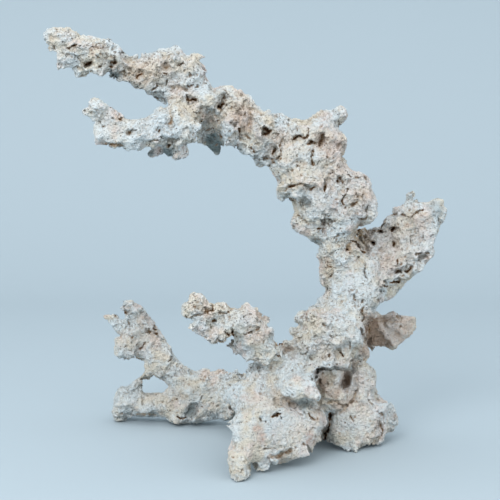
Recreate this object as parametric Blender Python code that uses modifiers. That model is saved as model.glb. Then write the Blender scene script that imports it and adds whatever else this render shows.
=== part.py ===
"""Dry reef rock: one branching piece of bleached reef rock, standing on two feet and a low branch.

The rock is laid out as lumps, the way it looks from the front. Each lump is measured in millimetres on an
upright grid through the middle of the rock, as an eye 1.3 m in front of it sees it, and is then moved along
the line of sight to its own depth. The lumps are fused, hollowed, roughened, pitted and reduced, and the
sole is cut flat. The rock is then sawn at its main forks, so that each branch is a solid of its own.
"""

import math
import random

import bmesh
import bpy
import numpy as np
from mathutils import Matrix, Vector, noise
from mathutils.bvhtree import BVHTree

MM = 0.001

# The eye that the layout is measured from, in metres
EYE = Vector((0.006, -1.300, 0.380))

# Skin of the rock, in millimetres
FUSE_SIZE = 3.2
SETTLE_SIZE = 2.4
FINISH_SIZE = 1.8
SWELL = (34.0, 3.4)
COBBLE = (20.0, 7.0)
NUBBLE = (9.5, 2.2)
BEND = (16.0, 5.0)
LUMP_SQUARENESS = 2.7
LUMP_JITTER = 0.13
UNSEEN_PITS = 80
UNSEEN_PIT_SPACING = 17.0

# Solids
TRIANGLES = 8000
SAW_GAP = 0.32
SMALLEST_PIECE = 400.0  # cubic millimetres, less is saw debris
FLOOR_DEPTH = 60.0

STONE_COLOUR = (0.78, 0.73, 0.65, 1.0)
STONE_ROUGHNESS = 0.92

# Lumps of each branch: across, up, depth, half length, half height, half thickness, tilt in degrees
LUMPS = {
    "upper_left_arm": [
        (-201, 464, -52, 20, 13, 15, 4),
        (-212, 466, -50, 9, 9, 10, 0),
        (-195, 444, -48, 13, 14, 13, 0),
        (-170, 451, -42, 24, 17, 18, -8),
        (-180, 429, -44, 9, 10, 9, 10),
        (-161, 432, -46, 10, 9, 10, 0),
        (-152, 457, -38, 9, 9, 12, 0),
        (-143, 442, -34, 14, 15, 16, -24),
        (-122, 428, -26, 27, 17, 18, -14),
        (-122, 421, -6, 20, 9, 10, -20),
        (-86, 436, -20, 20, 19, 20, 0),
        (-76, 449, -16, 10, 8, 10, 10),
        (-62, 431, -14, 19, 18, 20, 0),
        (-53, 446, -10, 8, 4, 8, -10),
        (-48, 431, 2, 5, 8, 8, 10),
        (-91, 407, -14, 16, 13, 17, -30),
        (-64, 414, -12, 22, 12, 19, 0),
    ],
    "lower_left_arm": [
        (-164, 389, -72, 11, 11, 11, -30),
        (-174, 384, -72, 7, 6, 7, 20),
        (-148, 377, -66, 16, 11, 12, -38),
        (-155, 362, -64, 15, 14, 13, 0),
        (-130, 358, -60, 20, 16, 17, -8),
        (-104, 361, -54, 22, 17, 18, 8),
        (-80, 368, -50, 24, 20, 20, 10),
        (-66, 363, -50, 16, 14, 17, 0),
        (-92, 342, -34, 14, 8, 12, 0),
        (-72, 341, -38, 10, 11, 11, 10),
        (-104, 339, -32, 6, 7, 6, 0),
        (-80, 381, -34, 16, 11, 20, 0),
    ],
    "arch": [
        (-46, 395, -8, 24, 17, 22, 0),
        (-72, 393, -20, 16, 10, 18, 0),
        (-60, 380, -22, 16, 15, 20, 0),
        (-20, 399, -6, 15, 15, 18, 0),
        (-4, 391, -4, 15, 16, 20, -20),
        (-16, 370, -14, 16, 15, 18, 0),
        (-17, 354, -16, 11, 8, 13, -12),
        (-41, 360, 8, 20, 13, 16, -20),
        (-32, 344, 12, 6, 9, 8, 0),
        (-24, 354, 4, 8, 8, 12, 0),
        (-42, 374, 4, 14, 12, 16, 0),
        (11, 376, 0, 13, 16, 22, 0),
        (2, 358, 0, 12, 12, 18, 0),
        (25, 364, -4, 20, 22, 24, 0),
        (9, 345, 0, 16, 8, 18, -14),
        (20, 333, 2, 10, 10, 14, 0),
        (33, 324, 2, 7, 9, 12, -30),
        (52, 362, 2, 20, 16, 24, 0),
        (76, 360, 0, 24, 20, 26, 0),
        (88, 377, 4, 12, 9, 12, 18),
        (106, 382, 4, 11, 9, 11, 0),
        (91, 350, 0, 20, 19, 26, 0),
        (60, 331, -4, 29, 21, 28, -10),
        (92, 329, -2, 22, 20, 28, 0),
        (68, 306, -6, 33, 19, 29, 0),
        (42, 291, 0, 7, 8, 8, 0),
        (120, 297, -10, 23, 20, 30, -20),
        (131, 274, -10, 18, 17, 26, 0),
        (137, 288, -4, 11, 14, 22, 0),
        (88, 281, -4, 33, 20, 30, 0),
        (68, 263, 2, 16, 17, 22, 0),
        (82, 249, 6, 15, 13, 20, -30),
        (106, 259, 2, 24, 22, 28, 0),
    ],
    "trunk": [
        (106, 228, 8, 24, 20, 28, 0),
        (97, 206, 10, 15, 15, 22, 0),
        (125, 204, 12, 24, 24, 30, 0),
        (128, 180, 10, 22, 22, 30, 0),
        (108, 178, 8, 18, 16, 24, 0),
        (96, 160, 4, 20, 14, 24, 20),
        (118, 158, 6, 30, 16, 30, 0),
        (71, 150, 0, 11, 10, 14, 30),
        (57, 136, -4, 5, 6, 7, 0),
        (100, 140, -14, 36, 22, 32, -8),
        (126, 138, -8, 13, 18, 24, 0),
        (78, 128, -18, 22, 16, 26, 10),
        (108, 120, -10, 28, 14, 28, 8),
        (88, 103, -14, 36, 13, 30, 0),
        (134, 110, 14, 10, 10, 20, 0),
    ],
    "right_branch": [
        (148, 230, 42, 18, 16, 22, 20),
        (136, 242, 40, 16, 13, 16, 0),
        (156, 248, 40, 12, 12, 14, 30),
        (167, 260, 36, 8, 11, 12, 30),
        (160, 214, 34, 22, 22, 24, 20),
        (152, 194, 26, 16, 18, 22, 0),
        (164, 183, 30, 13, 10, 14, 30),
        (181, 218, 30, 24, 21, 24, 16),
        (176, 252, 34, 20, 19, 20, 40),
        (200, 241, 30, 14, 26, 20, 0),
        (196, 266, 30, 24, 14, 18, 0),
        (187, 285, 30, 8, 14, 9, 0),
        (215, 274, 32, 13, 15, 14, 0),
        (177, 273, 32, 11, 7, 10, 0),
        (205, 222, 30, 8, 10, 14, 0),
    ],
    "back_fin": [
        (128, 142, 34, 16, 18, 22, 0),
        (142, 138, 54, 16, 18, 16, 0),
        (158, 139, 62, 18, 18, 10, 0),
        (176, 142, 66, 19, 14, 8, 8),
        (168, 127, 64, 13, 10, 8, 30),
        (164, 156, 62, 10, 4, 6, 0),
        (189, 149, 68, 9, 9, 7, 0),
    ],
    "base": [
        (62, 92, -20, 38, 16, 36, 0),
        (25, 88, -22, 30, 14, 34, 8),
        (8, 96, -34, 8, 6, 14, 20),
        (42, 101, -26, 22, 13, 26, 0),
        (45, 117, -8, 13, 8, 12, 0),
        (60, 74, -62, 22, 16, 18, -10),
        (76, 66, -64, 10, 12, 14, 0),
        (8, 66, -32, 30, 20, 36, 0),
        (40, 60, -22, 40, 28, 40, 0),
        (70, 56, 24, 52, 40, 40, 0),
        (24, 34, -66, 38, 30, 24, 0),
        (56, 30, -56, 32, 22, 26, -10),
        (78, 38, -40, 14, 14, 22, -30),
        (-2, 14, -90, 18, 30, 16, 0),
        (-8, -22, -110, 12, 22, 14, 0),
        (26, 6, -84, 26, 22, 14, -6),
        (18, -21, -84, 12, 5, 12, 6),
        (52, 8, -62, 24, 20, 22, -14),
        (46, -11, -58, 14, 4, 16, 8),
        (74, 15, -40, 17, 17, 20, -34),
        (134, 95, 8, 11, 12, 18, 0),
        (134, 76, 10, 14, 22, 24, 0),
        (118, 52, 30, 18, 18, 30, 0),
        (136, 48, 18, 28, 22, 28, 0),
        (124, 24, 6, 24, 26, 24, 0),
        (144, 30, 24, 20, 24, 26, 0),
        (165, 38, 44, 13, 15, 20, 0),
        (104, 24, 4, 9, 20, 18, 0),
        (102, 63, -4, 14, 11, 18, 0),
        (108, 49, -2, 20, 5, 18, 0),
        (78, 38, 78, 34, 30, 26, 0),
        (30, 62, 58, 34, 30, 34, 0),
        (108, 82, 48, 26, 20, 22, 0),
        (2, 68, 84, 22, 24, 22, 0),
    ],
    "front_left_branch": [
        (-53, 172, -92, 9, 10, 9, 0),
        (-62, 161, -94, 10, 9, 10, 0),
        (-48, 158, -88, 14, 11, 13, 0),
        (-50, 143, -88, 15, 11, 11, -20),
        (-31, 133, -82, 16, 11, 12, -14),
        (-30, 158, -80, 13, 12, 12, 0),
        (-12, 148, -74, 19, 14, 16, -6),
        (2, 158, -68, 12, 12, 12, 0),
        (14, 148, -62, 13, 12, 14, -20),
        (24, 151, -48, 6, 6, 7, 0),
        (10, 131, -62, 22, 16, 18, -10),
        (-13, 122, -56, 8, 8, 10, 0),
        (24, 131, -56, 10, 12, 12, 0),
        (22, 116, -52, 18, 16, 18, 0),
        (4, 112, -56, 14, 10, 14, 0),
        (-8, 113, -58, 6, 5, 6, 0),
        (32, 112, -40, 16, 10, 18, 0),
    ],
    "low_left_branch": [
        (-136, 52, 124, 15, 20, 20, 0),
        (-112, 51, 122, 22, 14, 19, 0),
        (-86, 51, 116, 20, 17, 20, 0),
        (-62, 65, 112, 22, 26, 22, 0),
        (-60, 46, 108, 22, 14, 20, 0),
        (-38, 62, 106, 20, 28, 22, 0),
        (-18, 61, 98, 18, 27, 22, 0),
        (-46, 88, 110, 9, 7, 9, 0),
        (-26, 87, 106, 8, 8, 9, 0),
        (-10, 86, 100, 7, 8, 8, 0),
        (-142, 38, 122, 10, 10, 12, 0),
        (-72, 38, 104, 15, 8, 14, 0),
    ],
    "low_left_fork": [
        (-83, 91, 120, 18, 14, 16, -40),
        (-97, 104, 124, 17, 15, 16, -40),
        (-104, 122, 126, 17, 16, 15, -60),
        (-114, 142, 128, 15, 16, 14, -50),
        (-126, 161, 128, 13, 12, 12, -30),
        (-136, 118, 122, 16, 14, 13, 0),
        (-138, 144, 124, 12, 8, 9, -35),
        (-151, 152, 124, 14, 7, 9, -18),
        (-126, 134, 124, 14, 10, 11, 0),
        (-109, 92, 122, 9, 9, 10, -40),
        (-117, 79, 120, 11, 7, 9, 34),
        (-130, 71, 120, 12, 8, 10, 24),
    ],
}

# Hollows taken out of the fused rock, laid out as the lumps are
HOLLOWS = {
    "cave_under_the_trunk": (98, 84, -34, 17, 11, 36, -12),
    "cave_back_pocket": (116, 82, -6, 5, 12, 22, -16),
    "slot_beside_the_ledge": (84, 52, -62, 4, 16, 18, 36),
    "gap_between_the_feet": (97, 4, -26, 4, 30, 50, 18),
    "pocket_behind_the_shoulder": (134, 246, 10, 12, 12, 22, -20),
    "pocket_in_the_arch": (68, 283, -34, 8, 6, 12, -20),
    "overhang_of_the_arch": (90, 250, -24, 5, 12, 10, 0),
    "shadow_of_the_lower_arm": (-42, 368, -16, 9, 8, 16, -40),
    "notch_in_the_upper_arm": (-147, 433, -52, 5, 7, 14, 0),
    "lip_of_the_front_toe": (11, -26, -108, 5, 4, 12, 0),
    "lip_of_the_front_foot": (42, -5, -88, 13, 3, 12, 12),
    "hollow_in_the_low_branch": (-60, 44, 84, 6, 9, 10, 20),
    "pocket_in_the_front_branch": (-16, 132, -92, 5, 5, 9, 0),
    "pocket_at_the_front_crotch": (44, 119, -34, 9, 6, 14, -10),
}

# Pits and cracks in the side that faces the eye: across, up, half length, half height, depth, tilt
PITS = [
    (-172, 436, 6, 5, 9, 20),
    (-116, 425, 7, 5, 6, -20),
    (-128, 428, 4, 5, 6, 0),
    (-86, 432, 4, 8, 6, 10),
    (-70, 437, 4, 3, 5, 30),
    (-92, 412, 8, 3, 6, 0),
    (-200, 455, 5, 4, 5, 0),
    (-127, 361, 6, 4, 5, 0),
    (-82, 375, 3, 8, 6, 0),
    (-142, 347, 8, 3, 6, -8),
    (-86, 352, 9, 3, 7, 0),
    (-24, 398, 3, 12, 9, -24),
    (-58, 397, 7, 3, 7, 0),
    (-6, 382, 4, 6, 5, 0),
    (24, 361, 5, 5, 9, 0),
    (33, 342, 4, 5, 9, 0),
    (41, 341, 2, 12, 8, 0),
    (61, 355, 9, 3, 8, 8),
    (84, 351, 5, 7, 7, -20),
    (76, 332, 3, 11, 8, 0),
    (60, 326, 6, 6, 5, 0),
    (54, 301, 5, 3, 8, 0),
    (73, 299, 8, 3, 8, -6),
    (91, 305, 3, 5, 8, -30),
    (106, 307, 5, 5, 12, 0),
    (112, 283, 3, 9, 7, 0),
    (124, 281, 7, 7, 7, 0),
    (130, 293, 6, 5, 6, 30),
    (138, 272, 4, 7, 6, 20),
    (93, 262, 8, 4, 7, -10),
    (118, 232, 5, 5, 7, 0),
    (136, 226, 5, 4, 7, 0),
    (98, 205, 3, 9, 6, 0),
    (164, 193, 10, 3, 9, 6),
    (176, 206, 12, 3, 8, 12),
    (168, 252, 5, 4, 8, 0),
    (168, 238, 4, 5, 6, 0),
    (192, 271, 13, 3, 7, 16),
    (202, 221, 7, 4, 6, 0),
    (145, 238, 4, 4, 7, 0),
    (106, 113, 3, 7, 6, -20),
    (122, 172, 3, 8, 5, 0),
    (90, 143, 5, 3, 5, 0),
    (-38, 160, 7, 4, 6, 30),
    (-37, 145, 4, 5, 6, -30),
    (3, 140, 10, 2, 7, 18),
    (38, 39, 8, 4, 9, 10),
    (55, 49, 5, 4, 7, 0),
    (19, 33, 4, 4, 6, 0),
    (125, 37, 4, 4, 9, 0),
    (155, 21, 3, 8, 6, 0),
    (76, 20, 3, 9, 5, -10),
    (20, 13, 3, 8, 5, -30),
    (-78, 58, 5, 3, 6, 0),
    (-105, 137, 7, 4, 6, -30),
    (-120, 116, 3, 8, 5, -30),
    (160, 140, 3, 12, 5, -30),
]

# Saw cuts at the main forks: two ends of the cut (across, up), the depth they are seen at, and the range of
# depth that the blade passes through
SAW_CUTS = {
    "low_left_branch_from_base": ((-16, 18), (-16, 112), 100, (46, 140)),
    "low_left_fork_from_branch": ((-99, 76), (-58, 105), 121, (80, 165)),
    "low_left_strut_from_branch": ((-134, 92), (-108, 70), 121, (90, 155)),
    "front_left_branch_from_base": ((-20, 87), (42.3, 116.1), -45, (-115, 12)),
    "trunk_from_base": ((41.7, 116.1), (156, 90), -45, (-90, 84)),
    "back_fin_from_trunk": ((146, 104), (146, 170), 60, (30, 105)),
    "right_branch_from_trunk": ((129, 263), (152, 164), 20, (-36, 84)),
    "arch_from_trunk": ((60, 235), (152, 259), 20, (-56, 76)),
    "upper_left_arm_from_arch": ((-110, 391), (-12, 420), -20, (-70, 44)),
    "lower_left_arm_from_arch": ((-101, 391), (-40, 341), -20, (-95, 24)),
}


def seen(across, up, depth):
    """The point at this depth that the eye sees at (across, up) on the upright grid, in metres."""
    on_grid = Vector((across * MM, 0.0, up * MM))
    return on_grid + (on_grid - EYE) * (depth * MM / -EYE.y)


def growth(depth):
    """How much larger a thing at this depth is than it looks on the grid."""
    return 1.0 + depth * MM / -EYE.y


def clear_scene():
    for obj in list(bpy.data.objects):
        bpy.data.objects.remove(obj, do_unlink=True)


def collection(name):
    made = bpy.data.collections.new(name)
    bpy.context.scene.collection.children.link(made)
    return made


def add_boulder(mesh, centre, sides, turn, seed):
    """Adds one rounded, slightly uneven boulder of these half sides to the bmesh."""
    made = bmesh.ops.create_icosphere(mesh, subdivisions=3, radius=1.0)
    offset = Vector((seed * 3.7, seed * 1.3, -seed * 2.1))
    for vertex in made["verts"]:
        way = vertex.co.normalized()
        reach = sum(abs(part) ** LUMP_SQUARENESS for part in way) ** (-1.0 / LUMP_SQUARENESS)
        reach *= 1.0 + LUMP_JITTER * noise.noise(way * 1.6 + offset)
        vertex.co = centre + turn @ Vector(w * s * reach for w, s in zip(way, sides))


def add_lump(mesh, layout, seed):
    across, up, depth, length, height, thickness, tilt = layout
    size = growth(depth) * MM
    sides = (length * size, thickness * MM, height * size)
    turn = Matrix.Rotation(math.radians(-tilt), 3, "Y")
    add_boulder(mesh, seen(across, up, depth), sides, turn, seed)


def mesh_object(name, mesh, home):
    data = bpy.data.meshes.new(name)
    mesh.to_mesh(data)
    mesh.free()
    obj = bpy.data.objects.new(name, data)
    home.objects.link(obj)
    return obj


def heap_of(name, layouts, home):
    """One object that holds a boulder for each layout."""
    mesh = bmesh.new()
    for seed, layout in enumerate(layouts, start=1):
        add_lump(mesh, layout, seed)
    return mesh_object(name, mesh, home)


def bake_modifiers(obj):
    """Makes the evaluated mesh the object's own, and clears its modifiers."""
    graph = bpy.context.evaluated_depsgraph_get()
    made = bpy.data.meshes.new_from_object(obj.evaluated_get(graph))
    obj.modifiers.clear()
    obj.data = made


def fuse(obj, size):
    """Joins what overlaps into one skin."""
    fused = obj.modifiers.new("Fuse", "REMESH")
    fused.mode = "VOXEL"
    fused.voxel_size = size * MM
    fused.adaptivity = 0.0
    bake_modifiers(obj)


def soften(obj, times):
    """Moves each point of the skin half way to the middle of its neighbours."""
    mesh = obj.data
    places = np.empty(len(mesh.vertices) * 3)
    mesh.vertices.foreach_get("co", places)
    places = places.reshape(-1, 3)
    ends = np.empty(len(mesh.edges) * 2, dtype=int)
    mesh.edges.foreach_get("vertices", ends)
    here, there = np.concatenate((ends.reshape(-1, 2), ends.reshape(-1, 2)[:, ::-1])).T
    neighbours = np.bincount(here)
    for _ in range(times):
        middles = np.stack([np.bincount(here, weights=axis[there]) / neighbours for axis in places.T], axis=1)
        places = (places + middles) / 2
    mesh.vertices.foreach_set("co", places.ravel())
    mesh.update()


def cut_by(obj, cutter):
    """Takes the cutter out of the object."""
    cutter.hide_render = True
    cutter.display_type = "WIRE"
    cut = obj.modifiers.new("Cut", "BOOLEAN")
    cut.operation = "DIFFERENCE"
    cut.object = cutter
    bake_modifiers(obj)


def knobs(point, size):
    """0 in the creases between knobs of about this size, 1 on top of them."""
    nearest = noise.voronoi(point / (size * MM))[0]
    return min(1.0, 1.5 * (nearest[1] - nearest[0]))


def drift(point, size):
    """A smooth random vector, up to about 1 long, that changes over about this size."""
    place = point / (size * MM)
    return Vector((noise.noise(place), noise.noise(place + Vector((31.0, 7.0, 13.0))),
                   noise.noise(place - Vector((17.0, 29.0, 5.0)))))


def roughen(obj):
    """Swells the skin, then raises knobs on it with creases between them."""
    mesh = obj.data
    normals = [Vector(normal.vector) for normal in mesh.vertex_normals]
    moved = []
    for vertex, normal in zip(mesh.vertices, normals):
        point = vertex.co
        swell = noise.noise(point / (SWELL[0] * MM)) * SWELL[1]
        bend = drift(point, BEND[0]) * (BEND[1] * MM)
        cobble = (knobs(point + bend, COBBLE[0]) - 0.44) * COBBLE[1]
        nubble = (knobs(point - bend, NUBBLE[0]) - 0.44) * NUBBLE[1]
        moved.append(point + normal * ((swell + cobble + nubble) * MM))
    for vertex, point in zip(mesh.vertices, moved):
        vertex.co = point


def facing_pits(tree):
    """Layouts of the pits that the eye sees, each where its line of sight meets the skin."""
    layouts = []
    for across, up, length, height, deep, tilt in PITS:
        sight = seen(across, up, 0.0) - EYE
        place = tree.ray_cast(EYE, sight.normalized())[0]
        if place is not None:
            layouts.append((across, up, place.y / MM, length, height, deep, tilt))
    return layouts


def add_unseen_pits(mesh, skin):
    """Pits scattered over the faces that the eye doesn't see."""
    chance = random.Random(11)
    faces = [face for face in skin.polygons if face.normal.dot(face.center - EYE) > 0.0]
    placed = []
    while faces and len(placed) < UNSEEN_PITS:
        face = chance.choice(faces)
        spacing = UNSEEN_PIT_SPACING * MM
        faces = [other for other in faces if (other.center - face.center).length > spacing]
        placed.append(face)
        length = chance.uniform(3.0, 8.0) * MM
        height = chance.uniform(2.5, 5.0) * MM
        deep = chance.uniform(4.0, 8.0) * MM
        spin = Matrix.Rotation(chance.uniform(0.0, math.pi), 3, "Y")
        turn = face.normal.to_track_quat("Y", "Z").to_matrix() @ spin
        add_boulder(mesh, face.center, (length, deep, height), turn, len(placed))


def pit(obj, home):
    """Takes the pits and cracks out of the skin."""
    skin = BVHTree.FromObject(obj, bpy.context.evaluated_depsgraph_get())
    mesh = bmesh.new()
    for seed, layout in enumerate(facing_pits(skin), start=1):
        add_lump(mesh, layout, seed)
    add_unseen_pits(mesh, obj.data)
    pits = mesh_object("pits", mesh, home)
    fuse(pits, 1.5)
    cut_by(obj, pits)


def shells_of(mesh):
    """The vertices of each separate shell of the bmesh."""
    left = set(mesh.verts)
    shells = []
    for start in mesh.verts:
        if start not in left:
            continue
        left.remove(start)
        shell = [start]
        for vertex in shell:
            for link in vertex.link_edges:
                other = link.other_vert(vertex)
                if other in left:
                    left.remove(other)
                    shell.append(other)
        shells.append(shell)
    return shells


def keep_largest(obj):
    """Drops the crumbs and the sealed bubbles that fusing leaves beside the main shell."""
    mesh = bmesh.new()
    mesh.from_mesh(obj.data)
    shells = sorted(shells_of(mesh), key=len)
    crumbs = [vertex for shell in shells[:-1] for vertex in shell]
    bmesh.ops.delete(mesh, geom=crumbs, context="VERTS")
    mesh.to_mesh(obj.data)
    mesh.free()


def reduce_to(obj, triangles):
    """Collapses the skin to about this many triangles, keeping its corners."""
    faces = sum(len(face.vertices) - 2 for face in obj.data.polygons)
    fewer = obj.modifiers.new("Reduce", "DECIMATE")
    fewer.ratio = triangles / faces
    fewer.use_collapse_triangulate = True
    bake_modifiers(obj)


def rough_rock(home):
    """The whole rock as one fused and roughened skin."""
    layouts = [layout for branch in LUMPS.values() for layout in branch]
    rock = heap_of("rock", layouts, home)
    fuse(rock, FUSE_SIZE)

    hollows = heap_of("hollows", HOLLOWS.values(), home)
    fuse(hollows, FUSE_SIZE)
    cut_by(rock, hollows)

    fuse(rock, SETTLE_SIZE)
    soften(rock, 2)
    roughen(rock)
    fuse(rock, SETTLE_SIZE)
    keep_largest(rock)
    pit(rock, home)
    fuse(rock, FINISH_SIZE)
    keep_largest(rock)
    return rock


def block(name, ends, height, home):
    """A box whose long middle runs between these ends, this high, with level sides."""
    start, end, half_depth = ends
    way = end - start
    mesh = bmesh.new()
    bmesh.ops.create_cube(mesh, size=1.0)
    turn = Matrix.Rotation(-math.atan2(way.z, way.x), 3, "Y")
    for vertex in mesh.verts:
        x, y, z = vertex.co
        vertex.co = (start + end) / 2 + turn @ Vector((x * way.length, 2 * y * half_depth, z * height))
    return mesh_object(name, mesh, home)


def cut_sole(rock, home):
    """Cuts the feet and the low branch flat where they stand."""
    level = -FLOOR_DEPTH * MM / 2
    ends = (Vector((-0.5, 0.0, level)), Vector((0.5, 0.0, level)), 0.5)
    cut_by(rock, block("floor", ends, FLOOR_DEPTH * MM, home))


def saw(rock, home):
    """Saws the rock through at its main forks with thin blades."""
    for name, (start, end, depth, (near, far)) in SAW_CUTS.items():
        start, end = seen(*start, depth), seen(*end, depth)
        start.y = end.y = (near + far) / 2 * MM
        ends = (start, end, (far - near) / 2 * MM)
        cut_by(rock, block(name, ends, SAW_GAP * MM, home))


def volume_and_centre(shell):
    """Volume of a closed shell of triangles, in cubic millimetres, and its middle."""
    volume = 0.0
    moment = Vector()
    faces = {face.index: face for vertex in shell for face in vertex.link_faces}
    for index in sorted(faces):
        a, b, c = (vertex.co for vertex in faces[index].verts)
        part = a.dot(b.cross(c)) / 6.0
        volume += part
        moment += part * (a + b + c) / 4.0
    return volume / MM**3, moment / volume


def branch_at(point):
    """Name of the branch whose lumps come closest to the point."""
    def distance(name):
        return min((seen(*layout[:3]) - point).length for layout in LUMPS[name])

    return min(LUMPS, key=distance)


def split(rock, home):
    """Makes each sawn piece an object named for its branch."""
    mesh = bmesh.new()
    mesh.from_mesh(rock.data)
    bmesh.ops.triangulate(mesh, faces=mesh.faces)
    mesh.faces.index_update()
    for shell in shells_of(mesh):
        volume, centre = volume_and_centre(shell)
        if volume < SMALLEST_PIECE:
            continue
        piece = bmesh.new()
        copies = {vertex: piece.verts.new(vertex.co) for vertex in shell}
        for face in mesh.faces:
            if face.verts[0] in copies:
                piece.faces.new([copies[vertex] for vertex in face.verts])
        mesh_object(branch_at(centre), piece, home)
    mesh.free()
    bpy.data.objects.remove(rock)


def stone():
    """Pale, dry, chalky rock."""
    material = bpy.data.materials.new("reef_rock")
    material.use_nodes = True
    finish = material.node_tree.nodes["Principled BSDF"]
    finish.inputs["Base Color"].default_value = STONE_COLOUR
    finish.inputs["Roughness"].default_value = STONE_ROUGHNESS
    finish.inputs["Metallic"].default_value = 0.0
    return material


def settle_origin(pieces):
    """Puts the origin under the middle of the rock, on the surface that it stands on."""
    points = [vertex.co for piece in pieces for vertex in piece.data.vertices]
    low = Vector(min(point[axis] for point in points) for axis in range(3))
    high = Vector(max(point[axis] for point in points) for axis in range(3))
    shift = -Vector(((low.x + high.x) / 2, (low.y + high.y) / 2, low.z))
    for piece in pieces:
        piece.data.transform(Matrix.Translation(shift))
    return shift


def main():
    clear_scene()
    rock_home = collection("dry_reef_rock")
    cutter_home = collection("cutters")
    cutter_home.hide_render = True

    rock = rough_rock(cutter_home)
    reduce_to(rock, TRIANGLES)
    cut_sole(rock, cutter_home)
    saw(rock, cutter_home)
    split(rock, rock_home)
    finish = stone()
    pieces = list(rock_home.objects)
    for piece in pieces:
        piece.data.materials.append(finish)
    return settle_origin(pieces)


SHIFT = main()
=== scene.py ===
"""Dry reef rock: a branching piece of bleached, porous rock that stands on its own feet.

Metres in the part's frame: +Z up, +Y away from the side that the photograph shows.
"""
import math

import bpy
import numpy as np
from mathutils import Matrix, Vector, noise
from mathutils.bvhtree import BVHTree


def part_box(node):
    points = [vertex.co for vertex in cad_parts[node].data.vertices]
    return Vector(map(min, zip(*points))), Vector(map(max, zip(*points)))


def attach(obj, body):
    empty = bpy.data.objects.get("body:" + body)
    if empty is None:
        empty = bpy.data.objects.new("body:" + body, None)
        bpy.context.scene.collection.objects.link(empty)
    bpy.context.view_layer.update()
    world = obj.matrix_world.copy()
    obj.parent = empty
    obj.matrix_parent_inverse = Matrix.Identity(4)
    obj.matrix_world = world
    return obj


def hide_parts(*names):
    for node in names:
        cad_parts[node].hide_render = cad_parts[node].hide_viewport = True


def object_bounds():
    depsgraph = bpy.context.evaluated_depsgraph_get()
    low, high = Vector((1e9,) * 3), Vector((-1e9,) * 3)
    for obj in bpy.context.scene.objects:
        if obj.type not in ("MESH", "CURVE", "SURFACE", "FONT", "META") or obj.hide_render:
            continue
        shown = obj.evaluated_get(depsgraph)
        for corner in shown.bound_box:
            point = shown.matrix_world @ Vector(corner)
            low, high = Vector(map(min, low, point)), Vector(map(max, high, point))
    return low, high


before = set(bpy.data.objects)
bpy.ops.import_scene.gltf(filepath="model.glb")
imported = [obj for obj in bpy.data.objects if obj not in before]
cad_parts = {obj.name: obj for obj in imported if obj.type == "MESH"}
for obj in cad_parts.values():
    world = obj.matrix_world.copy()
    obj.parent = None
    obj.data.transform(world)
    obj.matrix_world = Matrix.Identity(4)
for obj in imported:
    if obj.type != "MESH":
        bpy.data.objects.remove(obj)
cad_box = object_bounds()

# Camera. It stands in front of the rock, level with the arch and 1.3 metres away, and looks slightly
# down, so that the tops of the feet show.
EYE = Vector((-0.0033, -1.3118, 0.380))
DOWNWARD = math.radians(6.6)
camera = bpy.data.objects.new("camera", bpy.data.cameras.new("camera"))
camera.location = EYE
camera.rotation_euler = (math.pi / 2 - DOWNWARD, 0, 0)
camera.data.sensor_width = 36
camera.data.lens = 83.9
bpy.context.scene.collection.objects.link(camera)
bpy.context.scene.camera = camera


# Studio. A sheet of pale paper is the floor and rolls up behind the rock in one curve. The pale room
# gives most of the light. A large soft box stands in front of the rock, to the left and above it, and a
# weaker one fills from the right.
def pick(*objects):
    """Deselects everything, then selects these objects and makes the first one active."""
    bpy.ops.object.select_all(action="DESELECT")
    for obj in objects:
        obj.select_set(True)
    bpy.context.view_layer.objects.active = objects[0]


SWEEP_HALF_WIDTH = 3.0
SWEEP_BACK = 1.9
SWEEP_RISE = 2.6
SWEEP_ROUND = 0.9

bpy.ops.object.select_all(action="DESELECT")
bpy.ops.mesh.primitive_plane_add(size=2 * SWEEP_HALF_WIDTH, location=(0, SWEEP_BACK - SWEEP_HALF_WIDTH, 0))
sweep = bpy.context.object
sweep.name = "paper_sweep"
bpy.ops.object.mode_set(mode="EDIT")
bpy.ops.mesh.select_all(action="DESELECT")
bpy.ops.object.mode_set(mode="OBJECT")
for edge in sweep.data.edges:
    ends = [sweep.data.vertices[i] for i in edge.vertices]
    edge.select = all(v.co.y > 0 for v in ends)
    if edge.select:
        for v in ends:
            v.select = True
bpy.ops.object.mode_set(mode="EDIT")
bpy.ops.mesh.select_mode(type="EDGE")
bpy.ops.mesh.extrude_region_move(TRANSFORM_OT_translate={"value": (0, 0, SWEEP_RISE)})
bpy.ops.object.mode_set(mode="OBJECT")
fold = sweep.modifiers.new("fold", "BEVEL")
fold.width = SWEEP_ROUND
fold.segments = 24
fold.limit_method = "ANGLE"
bpy.ops.object.modifier_apply(modifier=fold.name)
bpy.ops.object.transform_apply(location=True, rotation=True, scale=True)
bpy.ops.object.shade_smooth()

paper = bpy.data.materials.new("pale_paper")
paper.use_nodes = True
paper.node_tree.nodes["Principled BSDF"].inputs["Base Color"].default_value = (0.39, 0.455, 0.49, 1)
paper.node_tree.nodes["Principled BSDF"].inputs["Roughness"].default_value = 0.75
sweep.data.materials.append(paper)


def soft_light(name, place, aim, size, watts, colour):
    """A square soft box of this size that faces the aim."""
    light = bpy.data.objects.new(name, bpy.data.lights.new(name, "AREA"))
    light.data.size = size
    light.data.energy = watts
    light.data.color = colour
    light.location = place
    light.rotation_euler = (Vector(aim) - Vector(place)).to_track_quat("-Z", "Y").to_euler()
    bpy.context.scene.collection.objects.link(light)


soft_light("key", (-0.7, -1.7, 1.45), (0, 0, 0.2), 1.0, 24.5, (0.97, 0.98, 1.0))
soft_light("fill", (1.6, -1.6, 0.9), (0, 0, 0.2), 1.6, 3, (0.93, 0.97, 1.0))
room = bpy.data.worlds.new("room")
room.use_nodes = True
room.node_tree.nodes["Background"].inputs["Color"].default_value = (0.88, 0.945, 1.0, 1)
room.node_tree.nodes["Background"].inputs["Strength"].default_value = 1.41
bpy.context.scene.world = room
bpy.context.scene.view_settings.view_transform = "Standard"

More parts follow.
